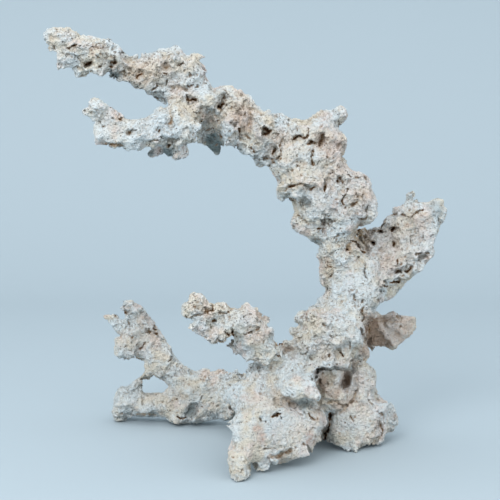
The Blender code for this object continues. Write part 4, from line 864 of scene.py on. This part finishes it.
# Stains of old crust, with painted shade and painted highlights among them, are ellipses on the grid,
# each a middle, a half width, a half height and a strength.
STAINS_AND_SHADE = {
    "tan": [
        (-204, 473, 3, 3, 0.6), (-117, 425, 18, 15, 0.5), (-76, 411, 7, 3, 0.6), (31, 373, 3, 3, 0.7),
        (33, 378, 3, 3, 0.7), (80, 378, 3, 3, 0.7), (86, 384, 3, 3, 0.6), (63, 326, 6, 3, 0.8),
        (112, 307, 3, 3, 0.6), (0, 365, 9, 7, 0.5), (7, 374, 4, 14, 0.5), (130, 293, 8, 7, 0.6),
        (119, 233, 4, 4, 0.8), (135, 235, 6, 6, 0.5), (171, 236, 6, 8, 0.6), (200, 214, 4, 2, 0.7),
        (93, 205, 6, 10, 0.5), (92, 218, 5, 4, 0.5), (134, 157, 5, 9, 0.6), (-29, 167, 3, 3, 0.6),
        (31, 95, 5, 3, 0.6), (-35, 125, 5, 3, 0.5), (93, 116, 4, 3, 0.6), (124, 98, 5, 5, 0.7),
        (55, 87, 3, 3, 0.5), (42, 57, 15, 8, 0.3), (84, 44, 12, 6, 0.5), (-119, 146, 4, 4, 0.6),
        (-60, 75, 6, 5, 0.5), (35, 67, 6, 3, 0.5), (75, 160, 10, 5, 0.4), (-125, 420, 14, 6, 0.5),
        (85, 352, 6, 10, 0.6), (129, 145, 5, 6, 0.5), (60, 300, 22, 6, 0.35), (-5, 382, 11, 16, 0.3),
        (-60, 383, 16, 10, 0.35), (170, 215, 20, 8, 0.25), (-27, 392, 6, 8, 0.5), (118, 238, 8, 10, 0.4),
        (-82, 376, 4, 9, 0.5), (96, 107, 10, 6, 0.4), (140, 100, 12, 16, 0.3), (-45, 158, 10, 8, 0.35),
        (-18, 128, 9, 8, 0.4),
    ],
    "warm": [
        (112, 300, 36, 34, 0.7), (168, 238, 34, 40, 0.65), (92, 350, 24, 22, 0.6), (-2, 378, 20, 20, 0.6),
        (58, 16, 44, 28, 0.5), (24, 60, 26, 16, 0.5), (124, 60, 26, 34, 0.7), (-100, 432, 52, 20, 0.35),
        (10, 152, 24, 14, 0.35), (-120, 122, 22, 24, 0.4), (40, 345, 26, 22, 0.4), (-90, 60, 30, 14, 0.35),
        (150, 24, 20, 20, 0.5), (95, 118, 16, 18, 0.4), (-150, 378, 18, 8, 0.4),
    ],
    # Ochre crust; the oval in the crook of the right branch is painted warm shade.
    "ochre_and_shade": [
        (101, 66, 9, 7, 0.45), (42, 56, 10, 4, 0.15), (129, 249, 10, 9, 0.9), (118, 233, 4, 5, 0.6),
        (88, 84, 8, 9, 0.5), (-29, 388, 3, 3, 0.8), (-118, 358, 3, 2, 0.5), (-127.5, 361, 4, 3, 0.6),
        (52, 54, 3, 4, 0.6), (-83, 57, 4, 4, 0.7), (-70, 62, 3, 3, 0.6), (-67, 62, 3, 2, 0.6),
        (124, 282, 5, 4, 0.7), (-126, 170, 9, 3, 0.3), (126, 311, 12, 3, 0.4), (-135, 158, 4, 3, 0.5),
        (-103, 136, 8, 7, 0.35), (-141, 376, 7, 4, 0.4), (60, 304, 8, 3, 0.4),
    ],
    "pink": [
        (-167, 446, 3, 5, 0.7), (-162, 455, 10, 3, 0.5), (-68, 448.5, 4, 3, 0.8), (-45, 431, 4, 7, 0.5),
        (-88, 434, 4, 5, 0.5), (-142, 384, 9, 6, 0.5), (-95, 340, 5, 5, 0.5), (-70, 340, 6, 8, 0.5),
        (-114, 345, 5, 4, 0.4), (-38, 376, 9, 5, 0.4), (98, 348, 14, 17, 0.4), (100, 281, 4, 6, 0.8),
        (181, 257, 4, 3, 0.7), (125, 218, 3, 3, 0.6), (202, 224, 7, 3, 0.5), (28, 137, 5, 5, 0.6),
        (-120, 166, 10, 3, 0.5), (87, 36, 8, 6, 0.4), (73, 69, 3, 6, 0.6), (172, 40, 4, 4, 0.5),
        (15, 24, 4.5, 6, 1.0), (20, 13, 4, 7, 1.0), (75, 14, 4.5, 10, 1.0), (132, 270, 10, 8, 0.3),
        (-55, 165, 10, 8, 0.25), (110, 320, 16, 8, 0.25), (140, 285, 8, 14, 0.3), (5, 155, 10, 8, 0.25),
        (120, 80, 20, 14, 0.25), (167, 156, 5, 4, 0.7), (-2, 376, 12, 16, 0.35), (136, 246, 9, 10, 0.35),
        (165, 138, 30, 22, 0.3),
    ],
    # Clean chalky stone, and a painted cool highlight on faces that the light falls on.
    "chalk_and_highlight": [
        (-198, 464, 10, 7, 0.7), (-100, 365, 45, 16, 0.7), (15, 370, 6, 8, 0.6), (-10, 35, 8, 28, 0.9),
        (19, 75, 7, 12, 0.9), (26, 23, 5, 7, 0.7), (132, 180, 18, 28, 0.9), (110, 195, 14, 16, 0.6),
        (-109, 112, 5, 14, 0.8), (90, 280, 14, 18, 0.5), (105, 140, 18, 14, 0.6), (60, 115, 26, 14, 0.5),
        (-20, 150, 22, 10, 0.5), (40, 25, 22, 22, 0.4), (-60, 400, 12, 10, 0.3), (65, 340, 16, 12, 0.4),
        (-140, 55, 14, 14, 0.5), (145, 75, 10, 20, 0.35), (190, 240, 16, 14, 0.4), (-160, 370, 14, 16, 0.5),
        (120, 35, 22, 14, 0.4), (85, 230, 8, 12, 0.4), (-195, 440, 14, 8, 0.4),
    ],
    # Brown crust, and painted shadow: the trunk's shadow on the back fin, the shade in the cave and on the
    # lump behind the front left branch.
    "brown_and_shadow": [
        (164, 138, 30, 24, 0.3), (144, 136, 9, 22, 1.0), (142, 150, 9, 9, 0.6), (158, 151, 14, 3, 0.8),
        (162, 122, 4, 9, 0.8), (154, 128, 6, 12, 0.9), (174, 133, 6, 7, 0.7), (183, 143, 8, 4, 0.55),
        (90, 82, 10, 12, 0.1), (101, 66, 10, 8, 0.5), (112, 50, 14, 8, 0.35), (116, 82, 5, 10, 0.9),
        (88, 76, 7, 12, 0.7), (20, 156, 9, 8, 0.5), (49, 116, 8, 5, 0.4), (85, 353, 4, 6, 0.6),
        (137, 113, 9, 9, 0.5), (36, -9, 10, 2, 0.6),
    ],
    # Painted shade, tinted by the cool bounce of the floor: the undersides of the arms and other shadowed
    # places.
    "painted_shade": [
        (-35, 350, 11, 15, 1.0), (-37, 363, 7, 3, 0.6), (-95, 62, 62, 42, 0.15), (-125, 135, 30, 40, 0.12),
        (8, 28, 36, 50, 0.1), (-27, 340, 7, 8, 0.9), (-8, 345, 10, 4, 0.5), (-105, 338, 5, 5, 0.9),
        (-84, 339, 8, 6, 0.9), (-144, 347, 12, 3, 0.6), (-145, 424, 7, 7, 0.8), (-121, 413, 10, 4, 0.7),
        (66, 283, 5, 3, 0.5), (72, 280, 4, 2.5, 0.5), (-60, 44, 8, 7, 0.7), (-114, 40, 18, 3, 0.5),
        (10, -21, 5, 4, 0.5), (100, 20, 4, 14, 0.4), (66, 54, 15, 4, 0.7), (46, -5, 12, 3, 0.6),
        (-120, 106, 7, 3, 0.6), (214, 276, 9, 11, 0.35), (25, 330, 12, 4, 0.5), (80, 241, 8, 3, 0.5),
    ],
    "porous": [
        (-189, 467, 6, 6, 1), (-117, 425, 18, 16, 1), (-7, 383, 12, 18, 1), (98, 348, 15, 18, 1),
        (132, 175, 18, 26, 1), (-138, 378, 7, 6, 1), (130, 293, 10, 8, 1), (65, 4, 8, 5, 0.8),
        (70, 152, 14, 8, 0.8), (-104, 137, 10, 8, 0.8), (120, 275, 20, 16, 0.7), (-50, 395, 14, 12, 0.6),
        (105, 135, 16, 12, 0.7), (-30, 155, 26, 14, 0.6), (40, 56, 18, 8, 0.7), (170, 245, 16, 14, 0.6),
        (60, 130, 12, 10, 0.7), (140, 100, 12, 14, 0.6),
    ],
}

# A chart of fine ups and downs, which frays the edges of cracks and hollows.
frayed = blurred(np.random.default_rng(3).normal(size=(TALL, WIDE)), 1.5)
frayed = np.clip(frayed / frayed.std(), -1.2, 2.2)


def line_share(line, half_width):
    """The area round a frayed line and how far inside it each cell is: 1 in its middle, 0 outside it."""
    points = np.array(line, float)
    low, high = points.min(0) - 2 * half_width - 2, points.max(0) + 2 * half_width + 2
    rows, columns = cell_of(np.stack([low, high]))
    up = BELOW + (np.arange(rows[0], rows[1] + 1) + 0.5) * CELL
    across = LEFT + (np.arange(columns[0], columns[1] + 1) + 0.5) * CELL
    here = np.stack(np.meshgrid(across, up), axis=-1)
    best = np.full(here.shape[:2], 1e9)
    for start, end in zip(points, points[1:] if len(points) > 1 else points):
        way = end - start
        t = np.clip(((here - start) @ way) / max(way @ way, 1e-9), 0, 1)
        best = np.minimum(best, np.linalg.norm(here - start - t[..., None] * way, axis=-1))
    area = (slice(rows[0], rows[1] + 1), slice(columns[0], columns[1] + 1))
    return area, 1 - ramp(best / half_width + 0.42 * frayed[area], 0.35, 1.25)


WIDE_HOLE = 1.8
FINE_DEPTH = 3.6
wide_holes, fine_holes, shade = (np.zeros((TALL, WIDE)) for _ in range(3))
for line, half_width, depth, darkness in HOLES:
    area, share = line_share(line, half_width * 0.75)
    if half_width >= WIDE_HOLE:
        chart, depth = wide_holes, depth * 0.75
    else:
        chart, depth = fine_holes, min(depth, FINE_DEPTH)
    chart[area] = np.maximum(chart[area], share * depth)
    shade[area] = np.maximum(shade[area], share * darkness * (1 if len(line) > 1 else 0.85))
for outline, depth, darkness in HOLLOWS:
    share = ramp(blurred(filled(outline), 1.0) - 0.12 * frayed, 0.15, 0.95)
    wide_holes = np.maximum(wide_holes, share * depth)
    shade = np.maximum(shade, share * darkness * 0.3)
stand_out = np.zeros((TALL, WIDE))
for outline, height in BLOCKS:
    stand_out = np.maximum(stand_out, ramp(blurred(filled(outline), 0.9), 0.1, 0.9) * height)
stain_and_shade_charts = {tint: ovals(places_of) for tint, places_of in STAINS_AND_SHADE.items()}


def nearest_face(spots, flat):
    """A chart of how far back the rock's nearest face lies on each line of sight, in millimetres."""
    nearest = np.full((TALL, WIDE), 1e4)
    np.minimum.at(nearest, cell_of(flat), spots[:, 1])
    for reach in (2, 1):
        for turn in (0, 1):
            beside = np.minimum(np.roll(nearest, reach, turn), np.roll(nearest, -reach, turn))
            nearest = np.minimum(nearest, beside)
    return nearest


def sight_lines_to(spots):
    """The direction from the eye to each spot."""
    way = spots - np.array(EYE) / MM
    return way / np.linalg.norm(way, axis=1)[:, None]


def skin_now():
    """The skin's points, the way out at each, where they show on the grid, and their lines of sight."""
    spots = places(skin.data)
    return spots, outward(skin.data), on_grid(spots), sight_lines_to(spots)


def facing(spots, normals, flat, sight_lines, behind, turned):
    """Which spots lie less than this far behind the nearest face and turn away less than this."""
    return (spots[:, 1] < look_up(nearest, flat) + behind) & ((normals * sight_lines).sum(1) < turned)


def level_plane(flat, depths):
    """The plane that these depths lie on: its slopes across and up and its depth at the grid's origin."""
    return np.linalg.lstsq(np.column_stack([flat, np.ones(len(flat))]), depths, rcond=None)[0]


def push_back(spots, sight_lines, amount):
    """Moves spots this far back, each along its own line of sight, so that it stays where it is seen."""
    return spots + sight_lines / sight_lines[:, 1:2] * amount[:, None]


spots, normals, flat, sight_lines = skin_now()
nearest = nearest_face(spots, flat)
in_view = facing(spots, normals, flat, sight_lines, behind=12, turned=0.2)
for outline, flatness in FACETS:
    share = look_up(ramp(blurred(filled(outline), 5.0), 0.1, 0.9), flat) * in_view
    chosen = share > 0.5
    across, up, level = level_plane(flat[chosen], spots[chosen, 1])
    spots = push_back(spots, sight_lines, (level + flat @ (across, up) - spots[:, 1]) * share * flatness)
rim_corners = np.array(CAVE[0][0], float)
rim_depths = np.sort([look_up(nearest, rim_corners + s) for s in (-3, 0, 3)], axis=0)[1]
across, up, level = level_plane(rim_corners, rim_depths)
walls, cave = np.zeros((TALL, WIDE)), blurred(filled(CAVE[0][0]), 0.8)
for outline, depth in CAVE:
    walls = np.where(filled(outline) > 0.5, depth, walls)
walls = blurred(walls, 0.8) / np.maximum(cave, 0.1)
too_deep = spots[:, 1] - (level + flat @ (across, up) + look_up(walls, flat))
in_cave = look_up(ramp(cave, 0.1, 0.7), flat) * in_view
put(skin.data, push_back(spots, sight_lines, -np.maximum(too_deep, 0) * in_cave))

spots, normals, flat, sight_lines = skin_now()
nearest = nearest_face(spots, flat)
in_view = facing(spots, normals, flat, sight_lines, behind=12, turned=0.2)
ragged_flat = strayed(flat, spots, 5, 1.6, (22, 23))
push = look_up(wide_holes, ragged_flat) * in_view
lift = look_up(stand_out, ragged_flat) * in_view
put(skin.data, spots + (0.75 * sight_lines - 0.45 * normals) * push[:, None] - sight_lines * lift[:, None])

# Worm holes on the sides that the photograph hides. They are scattered as they are in front, round or
# drawn out along the skin.
HIDDEN_HOLES = 230
lottery = np.random.default_rng(7)
ragged = clouds(spots, 5, 9, 2)
spots, normals = places(skin.data), outward(skin.data)
hidden = np.where(((normals * sight_lines).sum(1) > 0.25) & (spots[:, 2] > 6))[0]
push, hidden_shade = np.zeros(len(spots)), np.zeros(len(spots))
for centre in lottery.choice(hidden, HIDDEN_HOLES, replace=False):
    half_width, stretch = lottery.uniform(1.4, 3.2), lottery.uniform(1.0, 3.0)
    away = spots - spots[centre]
    near_by = np.where((np.abs(away) < half_width * 4).all(1))[0]
    along = np.cross(normals[centre], lottery.normal(size=3))
    along /= np.linalg.norm(along)
    lengthwise = away[near_by] @ along
    across = away[near_by] - lengthwise[:, None] * along
    reach = np.hypot(lengthwise / (half_width * stretch), np.linalg.norm(across, axis=1) / half_width)
    reach += ragged[near_by] * 0.45
    depth = half_width * lottery.uniform(1.4, 2.6)
    share, darkness = 1 - ramp(reach, 0.45, 1.15), lottery.uniform(0.4, 1.0)
    push[near_by] = np.maximum(push[near_by], share * depth)
    hidden_shade[near_by] = np.maximum(hidden_shade[near_by], share * darkness)
put(skin.data, spots - normals * push[:, None])
holed = skin.data.copy()
apply_modifier(skin, "REMESH", mode="VOXEL", voxel_size=FINE_GRAIN * MM)

# Nubbles, pores and grain. Up close the rock is a crumb of tiny shells and tubes: peas and pinheads of
# stone, worm pores one to five millimetres wide that lie thick in some places and are rare in others, and
# a sandy grain.
spots, normals, flat, sight_lines = skin_now()
in_view = facing(spots, normals, flat, sight_lines, behind=16, turned=0.6)
warped = strayed(spots, spots, 6, 2.6, (11, 12, 13))
small_flat = strayed(flat, spots, 3, 1.1, (24, 25))
porous = ramp(clouds(spots, 34, 14, 2), -0.2, 0.5) * 0.75
porous = np.maximum(porous, look_up(stain_and_shade_charts["porous"], flat) * in_view)
rubbly = ramp(clouds(spots, 28, 15, 2), -0.3, 0.4)
near, second, lots = cells(warped, 5.6, 16)
crumbs = (lots - 0.5) * 1.6 * ramp(second - near, 0.0, 0.25)
grain = billows(spots, 5.5, 31, 3) * 0.6
near, _, lots = cells(warped, 7.5, 18)
wide_pores = (1 - ramp(near, 0.10, 0.14 + 0.2 * lots)) * (lots > 0.97 - 0.4 * porous)
near, _, lots = cells(warped, 4.2, 19)
fine_pores = (1 - ramp(near, 0.16, 0.42)) * (lots > 0.86 - 0.5 * porous)
smoother = look_up(smoother_chart, flat)
crumb = (crumbs + grain) * (0.5 + 0.7 * rubbly) * (1 - 0.45 * smoother)
raise_skin(crumb - wide_pores * 2.4 - fine_pores * 1.3)
push = look_up(fine_holes, small_flat) * in_view
put(skin.data, places(skin.data) + (0.8 * sight_lines - 0.4 * normals) * push[:, None])
for width, most in ((2.5, 4), (1.6, 3), (1.2, 2)):
    fit_outline(width, most)


def mark(name, values):
    """Keeps a value from 0 to 1 for each point of the skin."""
    attribute = skin.data.attributes.new(name, "FLOAT", "POINT")
    attribute.data.foreach_set("value", np.clip(values, 0, 1).astype(np.float32))


mark("pore", np.maximum(wide_pores, 0.7 * fine_pores))
mark("porous", porous)

# The skin made whole. A few spots where it only touches itself are taken out, and the small gaps that
# they leave are closed again.
pick(skin)
bpy.ops.object.mode_set(mode="EDIT")
bpy.ops.mesh.select_mode(type="EDGE")
for _ in range(3):
    bpy.ops.mesh.select_all(action="DESELECT")
    bpy.ops.mesh.select_non_manifold(use_boundary=False)
    bpy.ops.mesh.delete(type="VERT")
    bpy.ops.mesh.select_all(action="DESELECT")
    bpy.ops.mesh.select_non_manifold()
    bpy.ops.mesh.fill_holes(sides=0)
bpy.ops.object.mode_set(mode="OBJECT")

# Marks for the material: how dark each point is in a hole, as painted shade, how far it stands back from
# what is round it, which paints shade into creases and hollows, and the stains and painted shade and
# highlights that the photograph shows.
ends = edges_of(skin.data)
spots, normals, flat, sight_lines = skin_now()
in_view = facing(spots, normals, flat, sight_lines, behind=16, turned=0.6)
in_view |= facing(spots, normals, flat, sight_lines, behind=45, turned=0)
small_flat = strayed(flat, spots, 3, 1.1, (24, 25))
inset_near = ((spread(spots, ends, 6) - spots) * normals).sum(1)
inset_wide = ((spread(spots, ends, 60) - spots) * normals).sum(1)
holed_faces = [tuple(face.vertices) for face in holed.polygons]
coarse_tree = BVHTree.FromPolygons([v.co.copy() for v in holed.vertices], holed_faces)
back_shade = np.zeros(len(spots))
for i in np.where(~in_view)[0].tolist():
    face = coarse_tree.find_nearest(Vector(spots[i] * MM))[2]
    back_shade[i] = hidden_shade[holed_faces[face][0]]
bpy.data.meshes.remove(holed)

mark("hole_stain_and_shade", np.maximum(look_up(blurred(shade, 0.35), small_flat) * in_view, back_shade))
mark("crease_crust_and_shade", ramp(inset_near, -0.3, 0.9))
mark("hollow_shade", ramp(inset_wide, -3.0, 5.0))
mark("calm", look_up(smoother_chart, flat) * in_view)
ragged_flat = strayed(flat, spots, 7, 4, (26, 27), octaves=3)
for tint in ("warm", "tan", "ochre_and_shade", "pink", "chalk_and_highlight", "brown_and_shadow", "painted_shade"):
    mark(tint, look_up(blurred(stain_and_shade_charts[tint], 1.0), ragged_flat) * in_view)


# The stone. Dry calcium carbonate, bleached nearly white: chalky and cool where it is clean, cream where
# crusts are left, pinkish from old coralline algae, and ochre to brown down in the pores. Light and shade
# are painted into it as well: dark and black in holes and pinholes, tan in creases and hollows, teal on
# undersides, brown where the trunk shades the fin, and a cool highlight on some lit faces.
def feed(tree, socket, value):
    """Links a socket to a sum's output, or sets it to a plain value."""
    value = value.value if isinstance(value, Sum) else value
    if isinstance(value, bpy.types.NodeSocket):
        tree.links.new(value, socket)
    else:
        socket.default_value = value


class Sum:
    """A socket or a number that adds Math nodes to the material when it is used in sums."""

    tree = None

    def __init__(self, value):
        self.value = value

    def joined(self, operation, other):
        """Adds the Math node that works out this operation on the two."""
        node = Sum.tree.nodes.new("ShaderNodeMath")
        node.operation = operation
        feed(Sum.tree, node.inputs[0], self)
        feed(Sum.tree, node.inputs[1], other)
        return Sum(node.outputs[0])

    def __add__(self, other):
        return self.joined("ADD", other)

    def __radd__(self, other):
        return Sum(other).joined("ADD", self)

    def __sub__(self, other):
        return self.joined("SUBTRACT", other)

    def __rsub__(self, other):
        return Sum(other).joined("SUBTRACT", self)

    def __mul__(self, other):
        return self.joined("MULTIPLY", other)

    def __rmul__(self, other):
        return Sum(other).joined("MULTIPLY", self)

    def between(self, low, high):
        """0 below low, 1 above high and a smooth rise between them."""
        node = Sum.tree.nodes.new("ShaderNodeMapRange")
        node.interpolation_type = "SMOOTHSTEP"
        feed(Sum.tree, node.inputs["Value"], self)
        feed(Sum.tree, node.inputs["From Min"], low)
        feed(Sum.tree, node.inputs["From Max"], high)
        return Sum(node.outputs["Result"])


class Finish:
    """A material and one method that adds its nodes."""

    def __init__(self, name):
        self.material = bpy.data.materials.new(name)
        self.material.use_nodes = True
        self.tree = Sum.tree = self.material.node_tree
        self.shader = self.tree.nodes["Principled BSDF"]

    def node(self, kind, settings=None, output=0, **sockets):
        """Adds a node: its settings, then the values or links of its sockets, by name or as i0, i1."""
        made = self.tree.nodes.new(kind)
        for name, value in (settings or {}).items():
            setattr(made, name, value)
        for name, value in sockets.items():
            numbered = name[0] == "i" and name[1:].isdigit()
            feed(self.tree, made.inputs[int(name[1:]) if numbered else name.replace("_", " ")], value)
        return Sum(made.outputs[output])

    def blend(self, share, first, second):
        """The first colour where share is 0, the second where it is 1."""
        return self.node(
            "ShaderNodeMix", {"data_type": "RGBA"}, output=2, Factor=share, i6=first, i7=second
        )


stone = Finish("bleached_reef_stone")
place = stone.node("ShaderNodeTexCoord", output=3)


def mottle(size, detail=3.0, seed=0.0, rough=0.55):
    """Soft noise from 0 to 1 with swells of this size in millimetres."""
    moved = stone.node("ShaderNodeVectorMath", {"operation": "ADD"}, i0=place, i1=(seed, seed * 0.7, -seed))
    scale = 1.0 / (size * MM)
    return stone.node("ShaderNodeTexNoise", Vector=moved, Scale=scale, Detail=detail, Roughness=rough)


def specks(size, seed=0.0):
    """Distance to the nearest of many scattered dots, this many millimetres apart, in dot spacings."""
    moved = stone.node("ShaderNodeVectorMath", {"operation": "ADD"}, i0=place, i1=(seed, -seed, seed * 0.3))
    return stone.node("ShaderNodeTexVoronoi", Vector=moved, Scale=1.0 / (size * MM))


def marked(name):
    """The mark of this name, from 0 to 1 over the skin."""
    return stone.node("ShaderNodeAttribute", {"attribute_name": name}, output=2)


CREAM = (0.770, 0.715, 0.605, 1)
CHALK = (0.715, 0.780, 0.795, 1)
MILK = (0.755, 0.785, 0.780, 1)
FROST_AND_HIGHLIGHT = (0.715, 0.780, 0.805, 1)
SHELL = (0.800, 0.735, 0.650, 1)
ROSE = (0.785, 0.660, 0.600, 1)
DUN_AND_SHADOW = (0.600, 0.490, 0.415, 1)
TAN = (0.520, 0.385, 0.255, 1)
PINK = (0.600, 0.395, 0.325, 1)
OCHRE_AND_SHADE = (0.440, 0.270, 0.110, 1)
BROWN = (0.290, 0.170, 0.090, 1)
UMBER_AND_SHADOW = (0.280, 0.190, 0.135, 1)
# Painted shade colours: the teal one for undersides, the two darkest for holes and pinholes.
SHADE_TEAL = (0.135, 0.185, 0.190, 1)
DARK_SHADE = (0.110, 0.052, 0.022, 1)
SHADOW_BLACK = (0.022, 0.014, 0.009, 1)

colour = stone.blend(mottle(30, 5, 0.11).between(0.40, 0.60), CREAM, CHALK)
colour = stone.blend(mottle(24, 5, 0.37).between(0.50, 0.66) * 0.7, colour, ROSE)
colour = stone.blend(mottle(9, 5, 0.23).between(0.48, 0.66) * 0.7, colour, MILK)
colour = stone.blend(mottle(15, 5, 0.71).between(0.58, 0.76) * 0.35, colour, TAN)
fleck = mottle(4.5, 4, 0.83).between(0.38, 0.62)
warmth = mottle(20, 3, 0.31).between(0.40, 0.60)
flushed = stone.blend(fleck, ROSE, SHELL)
colour = stone.blend(marked("warm") * (0.4 + warmth * 0.6), colour, flushed)
# Clean chalky stone, and a painted cool highlight on lit faces.
colour = stone.blend(marked("chalk_and_highlight") * 0.85, colour, FROST_AND_HIGHLIGHT)
# The ochre mark also paints the warm shade in the crook of the right branch.
for tint, paint, strength in (("tan", TAN, 0.85), ("pink", PINK, 0.85), ("ochre_and_shade", OCHRE_AND_SHADE, 0.9)):
    colour = stone.blend(marked(tint) * (0.35 + fleck * 0.65) * strength, colour, paint)
# Brown crust, and the painted shadow of the trunk on the fin and painted shade in the cave.
colour = stone.blend(marked("brown_and_shadow").between(0.0, 0.5) * (0.7 + fleck * 0.3) * 0.9, colour, DUN_AND_SHADOW)
colour = stone.blend(marked("brown_and_shadow").between(0.45, 0.95) * 0.9, colour, UMBER_AND_SHADOW)
# Tan in creases and small dips, partly crust and partly painted shade.
colour = stone.blend(marked("crease_crust_and_shade") * 0.28, colour, TAN)
# Painted shade: tan in the wide hollows between lumps.
colour = stone.blend(marked("hollow_shade") * 0.12, colour, TAN)
# Painted shade with a cool bounce, on undersides and shadowed places.
colour = stone.blend(marked("painted_shade") * 0.95, colour, SHADE_TEAL)
grit = mottle(1.9, 3, 0.43, 0.65).between(0.36, 0.58)
# Brown grit at random, with more of it in creases as painted shade.
colour = stone.blend((1 - grit) * (0.09 + marked("crease_crust_and_shade") * 0.2), colour, BROWN)
# Dark pinholes too fine for the mesh, in porous zones: painted shade.
zone = marked("porous") * 0.6 + mottle(16, 3, 0.53).between(0.45, 0.65) * 0.4
fine = (1 - specks(2.6, 0.05).between(0.14, 0.34)) * mottle(6, 3, 0.59).between(0.38, 0.60)
fine = fine * zone * (1 - marked("calm") * 0.5)
colour = stone.blend(fine * 0.8, colour, DARK_SHADE)
# Scattered dark pinholes: painted shade.
pin = (1 - specks(4.1, 0.07).between(0.10, 0.20)) * mottle(9, 3, 0.67).between(0.42, 0.56)
colour = stone.blend(pin * (0.9 - marked("calm") * 0.45), colour, DARK_SHADE)
colour = stone.blend(marked("pore") * 0.8, colour, BROWN)
# Holes: tan and brown at their rims, then painted shade, dark to black, further in.
pit = marked("hole_stain_and_shade") * (0.72 + fleck * 0.42)
colour = stone.blend(pit.between(0.12, 0.45) * 0.6, colour, TAN)
colour = stone.blend(pit.between(0.34, 0.62) * 0.95, colour, BROWN)
colour = stone.blend(pit.between(0.54, 0.80), colour, DARK_SHADE)
colour = stone.blend(pit.between(0.78, 0.98), colour, SHADOW_BLACK)
feed(stone.tree, stone.shader.inputs["Base Color"], colour)
stone.shader.inputs["Roughness"].default_value = 0.95
stone.shader.inputs["Specular IOR Level"].default_value = 0.2
BUMP_HEIGHT = 2.8
dots = specks(3.4, 0.09) * 0.8 + specks(1.9, 0.13) * 0.5
sand = mottle(2.6, 4, 0.19, 0.75) * 1.1 + mottle(1.1, 2, 0.29) * 0.4 - dots - fine * 0.9 - pin
bump = stone.node("ShaderNodeBump", Height=sand, Distance=BUMP_HEIGHT * MM, Strength=1.0)
feed(stone.tree, stone.shader.inputs["Normal"], bump)

# The branches. The skin parts where the rock forks, and each point goes to the branch that it lies
# nearest to. Each branch is closed at its forks, so that it is a whole stone by itself and stands for its
# own node.
BRANCH_REACH = 12
VOTE_ROUNDS = 12
PINCH_ROUNDS = 60
MOST_TRIANGLES = 190000

names = sorted(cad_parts)
spots = places(skin.data)
far = np.full((len(names), len(spots)), 1e3)
for row, name in enumerate(names):
    node_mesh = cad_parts[name].data
    node_mesh.calc_loop_triangles()
    corners = [tuple(t.vertices) for t in node_mesh.loop_triangles]
    solid = BVHTree.FromPolygons([v.co.copy() for v in node_mesh.vertices], corners)
    low, high = (np.array(corner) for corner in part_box(name))
    margin = BRANCH_REACH * MM
    close = ((spots * MM > low - margin) & (spots * MM < high + margin)).all(1)
    for i in np.where(close)[0].tolist():
        far[row, i] = solid.find_nearest(Vector(spots[i] * MM))[3] / MM
owner = far.argmin(0)
votes = spread(np.eye(len(names))[owner], edges_of(skin.data), VOTE_ROUNDS)
owner = votes.argmax(1)


def read(items, key):
    """The whole number under this key for each item of the mesh."""
    found = np.empty(len(items), np.int32)
    items.foreach_get(key, found)
    return found


corner_of = read(skin.data.loops, "vertex_index")
edge_of = read(skin.data.loops, "edge_index")
first_corner = read(skin.data.polygons, "loop_start")
corners = np.diff(np.append(first_corner, len(corner_of)))
face_of = np.repeat(np.arange(len(first_corner)), corners)
face_owner = owner[corner_of[first_corner]]
ends, many = edges_of(skin.data), len(spots)
for _ in range(PINCH_ROUNDS):
    corner_owner = face_owner[face_of]
    pinched = np.zeros(many, bool)
    for k in range(len(names)):
        on_rim = np.bincount(edge_of[corner_owner == k], minlength=len(ends)) == 1
        pinched |= np.bincount(ends[on_rim].ravel(), minlength=many) > 2
    if not pinched.any():
        break
    tally = np.bincount(corner_of * len(names) + corner_owner, minlength=many * len(names))
    winner = tally.reshape(many, -1).argmax(1)
    there = pinched[corner_of]
    face_owner[face_of[there]] = winner[corner_of[there]]
tags = [bpy.data.materials.new("tag_" + name) for name in names]
skin.data.materials.clear()
for tag in tags:
    skin.data.materials.append(tag)
skin.data.polygons.foreach_set("material_index", face_owner.astype(np.int32))
skin.data.update()
pick(skin)
bpy.ops.object.shade_smooth()
bpy.ops.object.mode_set(mode="EDIT")
bpy.ops.mesh.separate(type="MATERIAL")
bpy.ops.object.mode_set(mode="OBJECT")
for branch in list(bpy.context.selected_objects):
    name = branch.data.materials[0].name.removeprefix("tag_")
    branch.name = branch.data.name = "stone_" + name
    branch.data.materials.clear()
    branch.data.materials.append(stone.material)
    triangles = sum(len(face.vertices) - 2 for face in branch.data.polygons)
    if triangles > MOST_TRIANGLES:
        apply_modifier(branch, "DECIMATE", ratio=MOST_TRIANGLES / triangles)
        spots = places(branch.data)
        spots[:, 2] = np.maximum(spots[:, 2], 0)
        put(branch.data, spots)
    pick(branch)
    bpy.ops.object.mode_set(mode="EDIT")
    bpy.ops.mesh.select_mode(type="EDGE")
    bpy.ops.mesh.select_all(action="DESELECT")
    bpy.ops.mesh.select_non_manifold()
    bpy.ops.mesh.mark_sharp()
    bpy.ops.mesh.fill_holes(sides=0)
    bpy.ops.mesh.select_all(action="DESELECT")
    bpy.ops.mesh.select_non_manifold(use_multi_face=False, use_non_contiguous=False, use_verts=False)
    bpy.ops.mesh.extrude_region_move()
    bpy.ops.mesh.merge(type="COLLAPSE")
    bpy.ops.object.mode_set(mode="OBJECT")
    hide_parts(name)
    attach(branch, "root")
for tag in tags:
    bpy.data.materials.remove(tag)
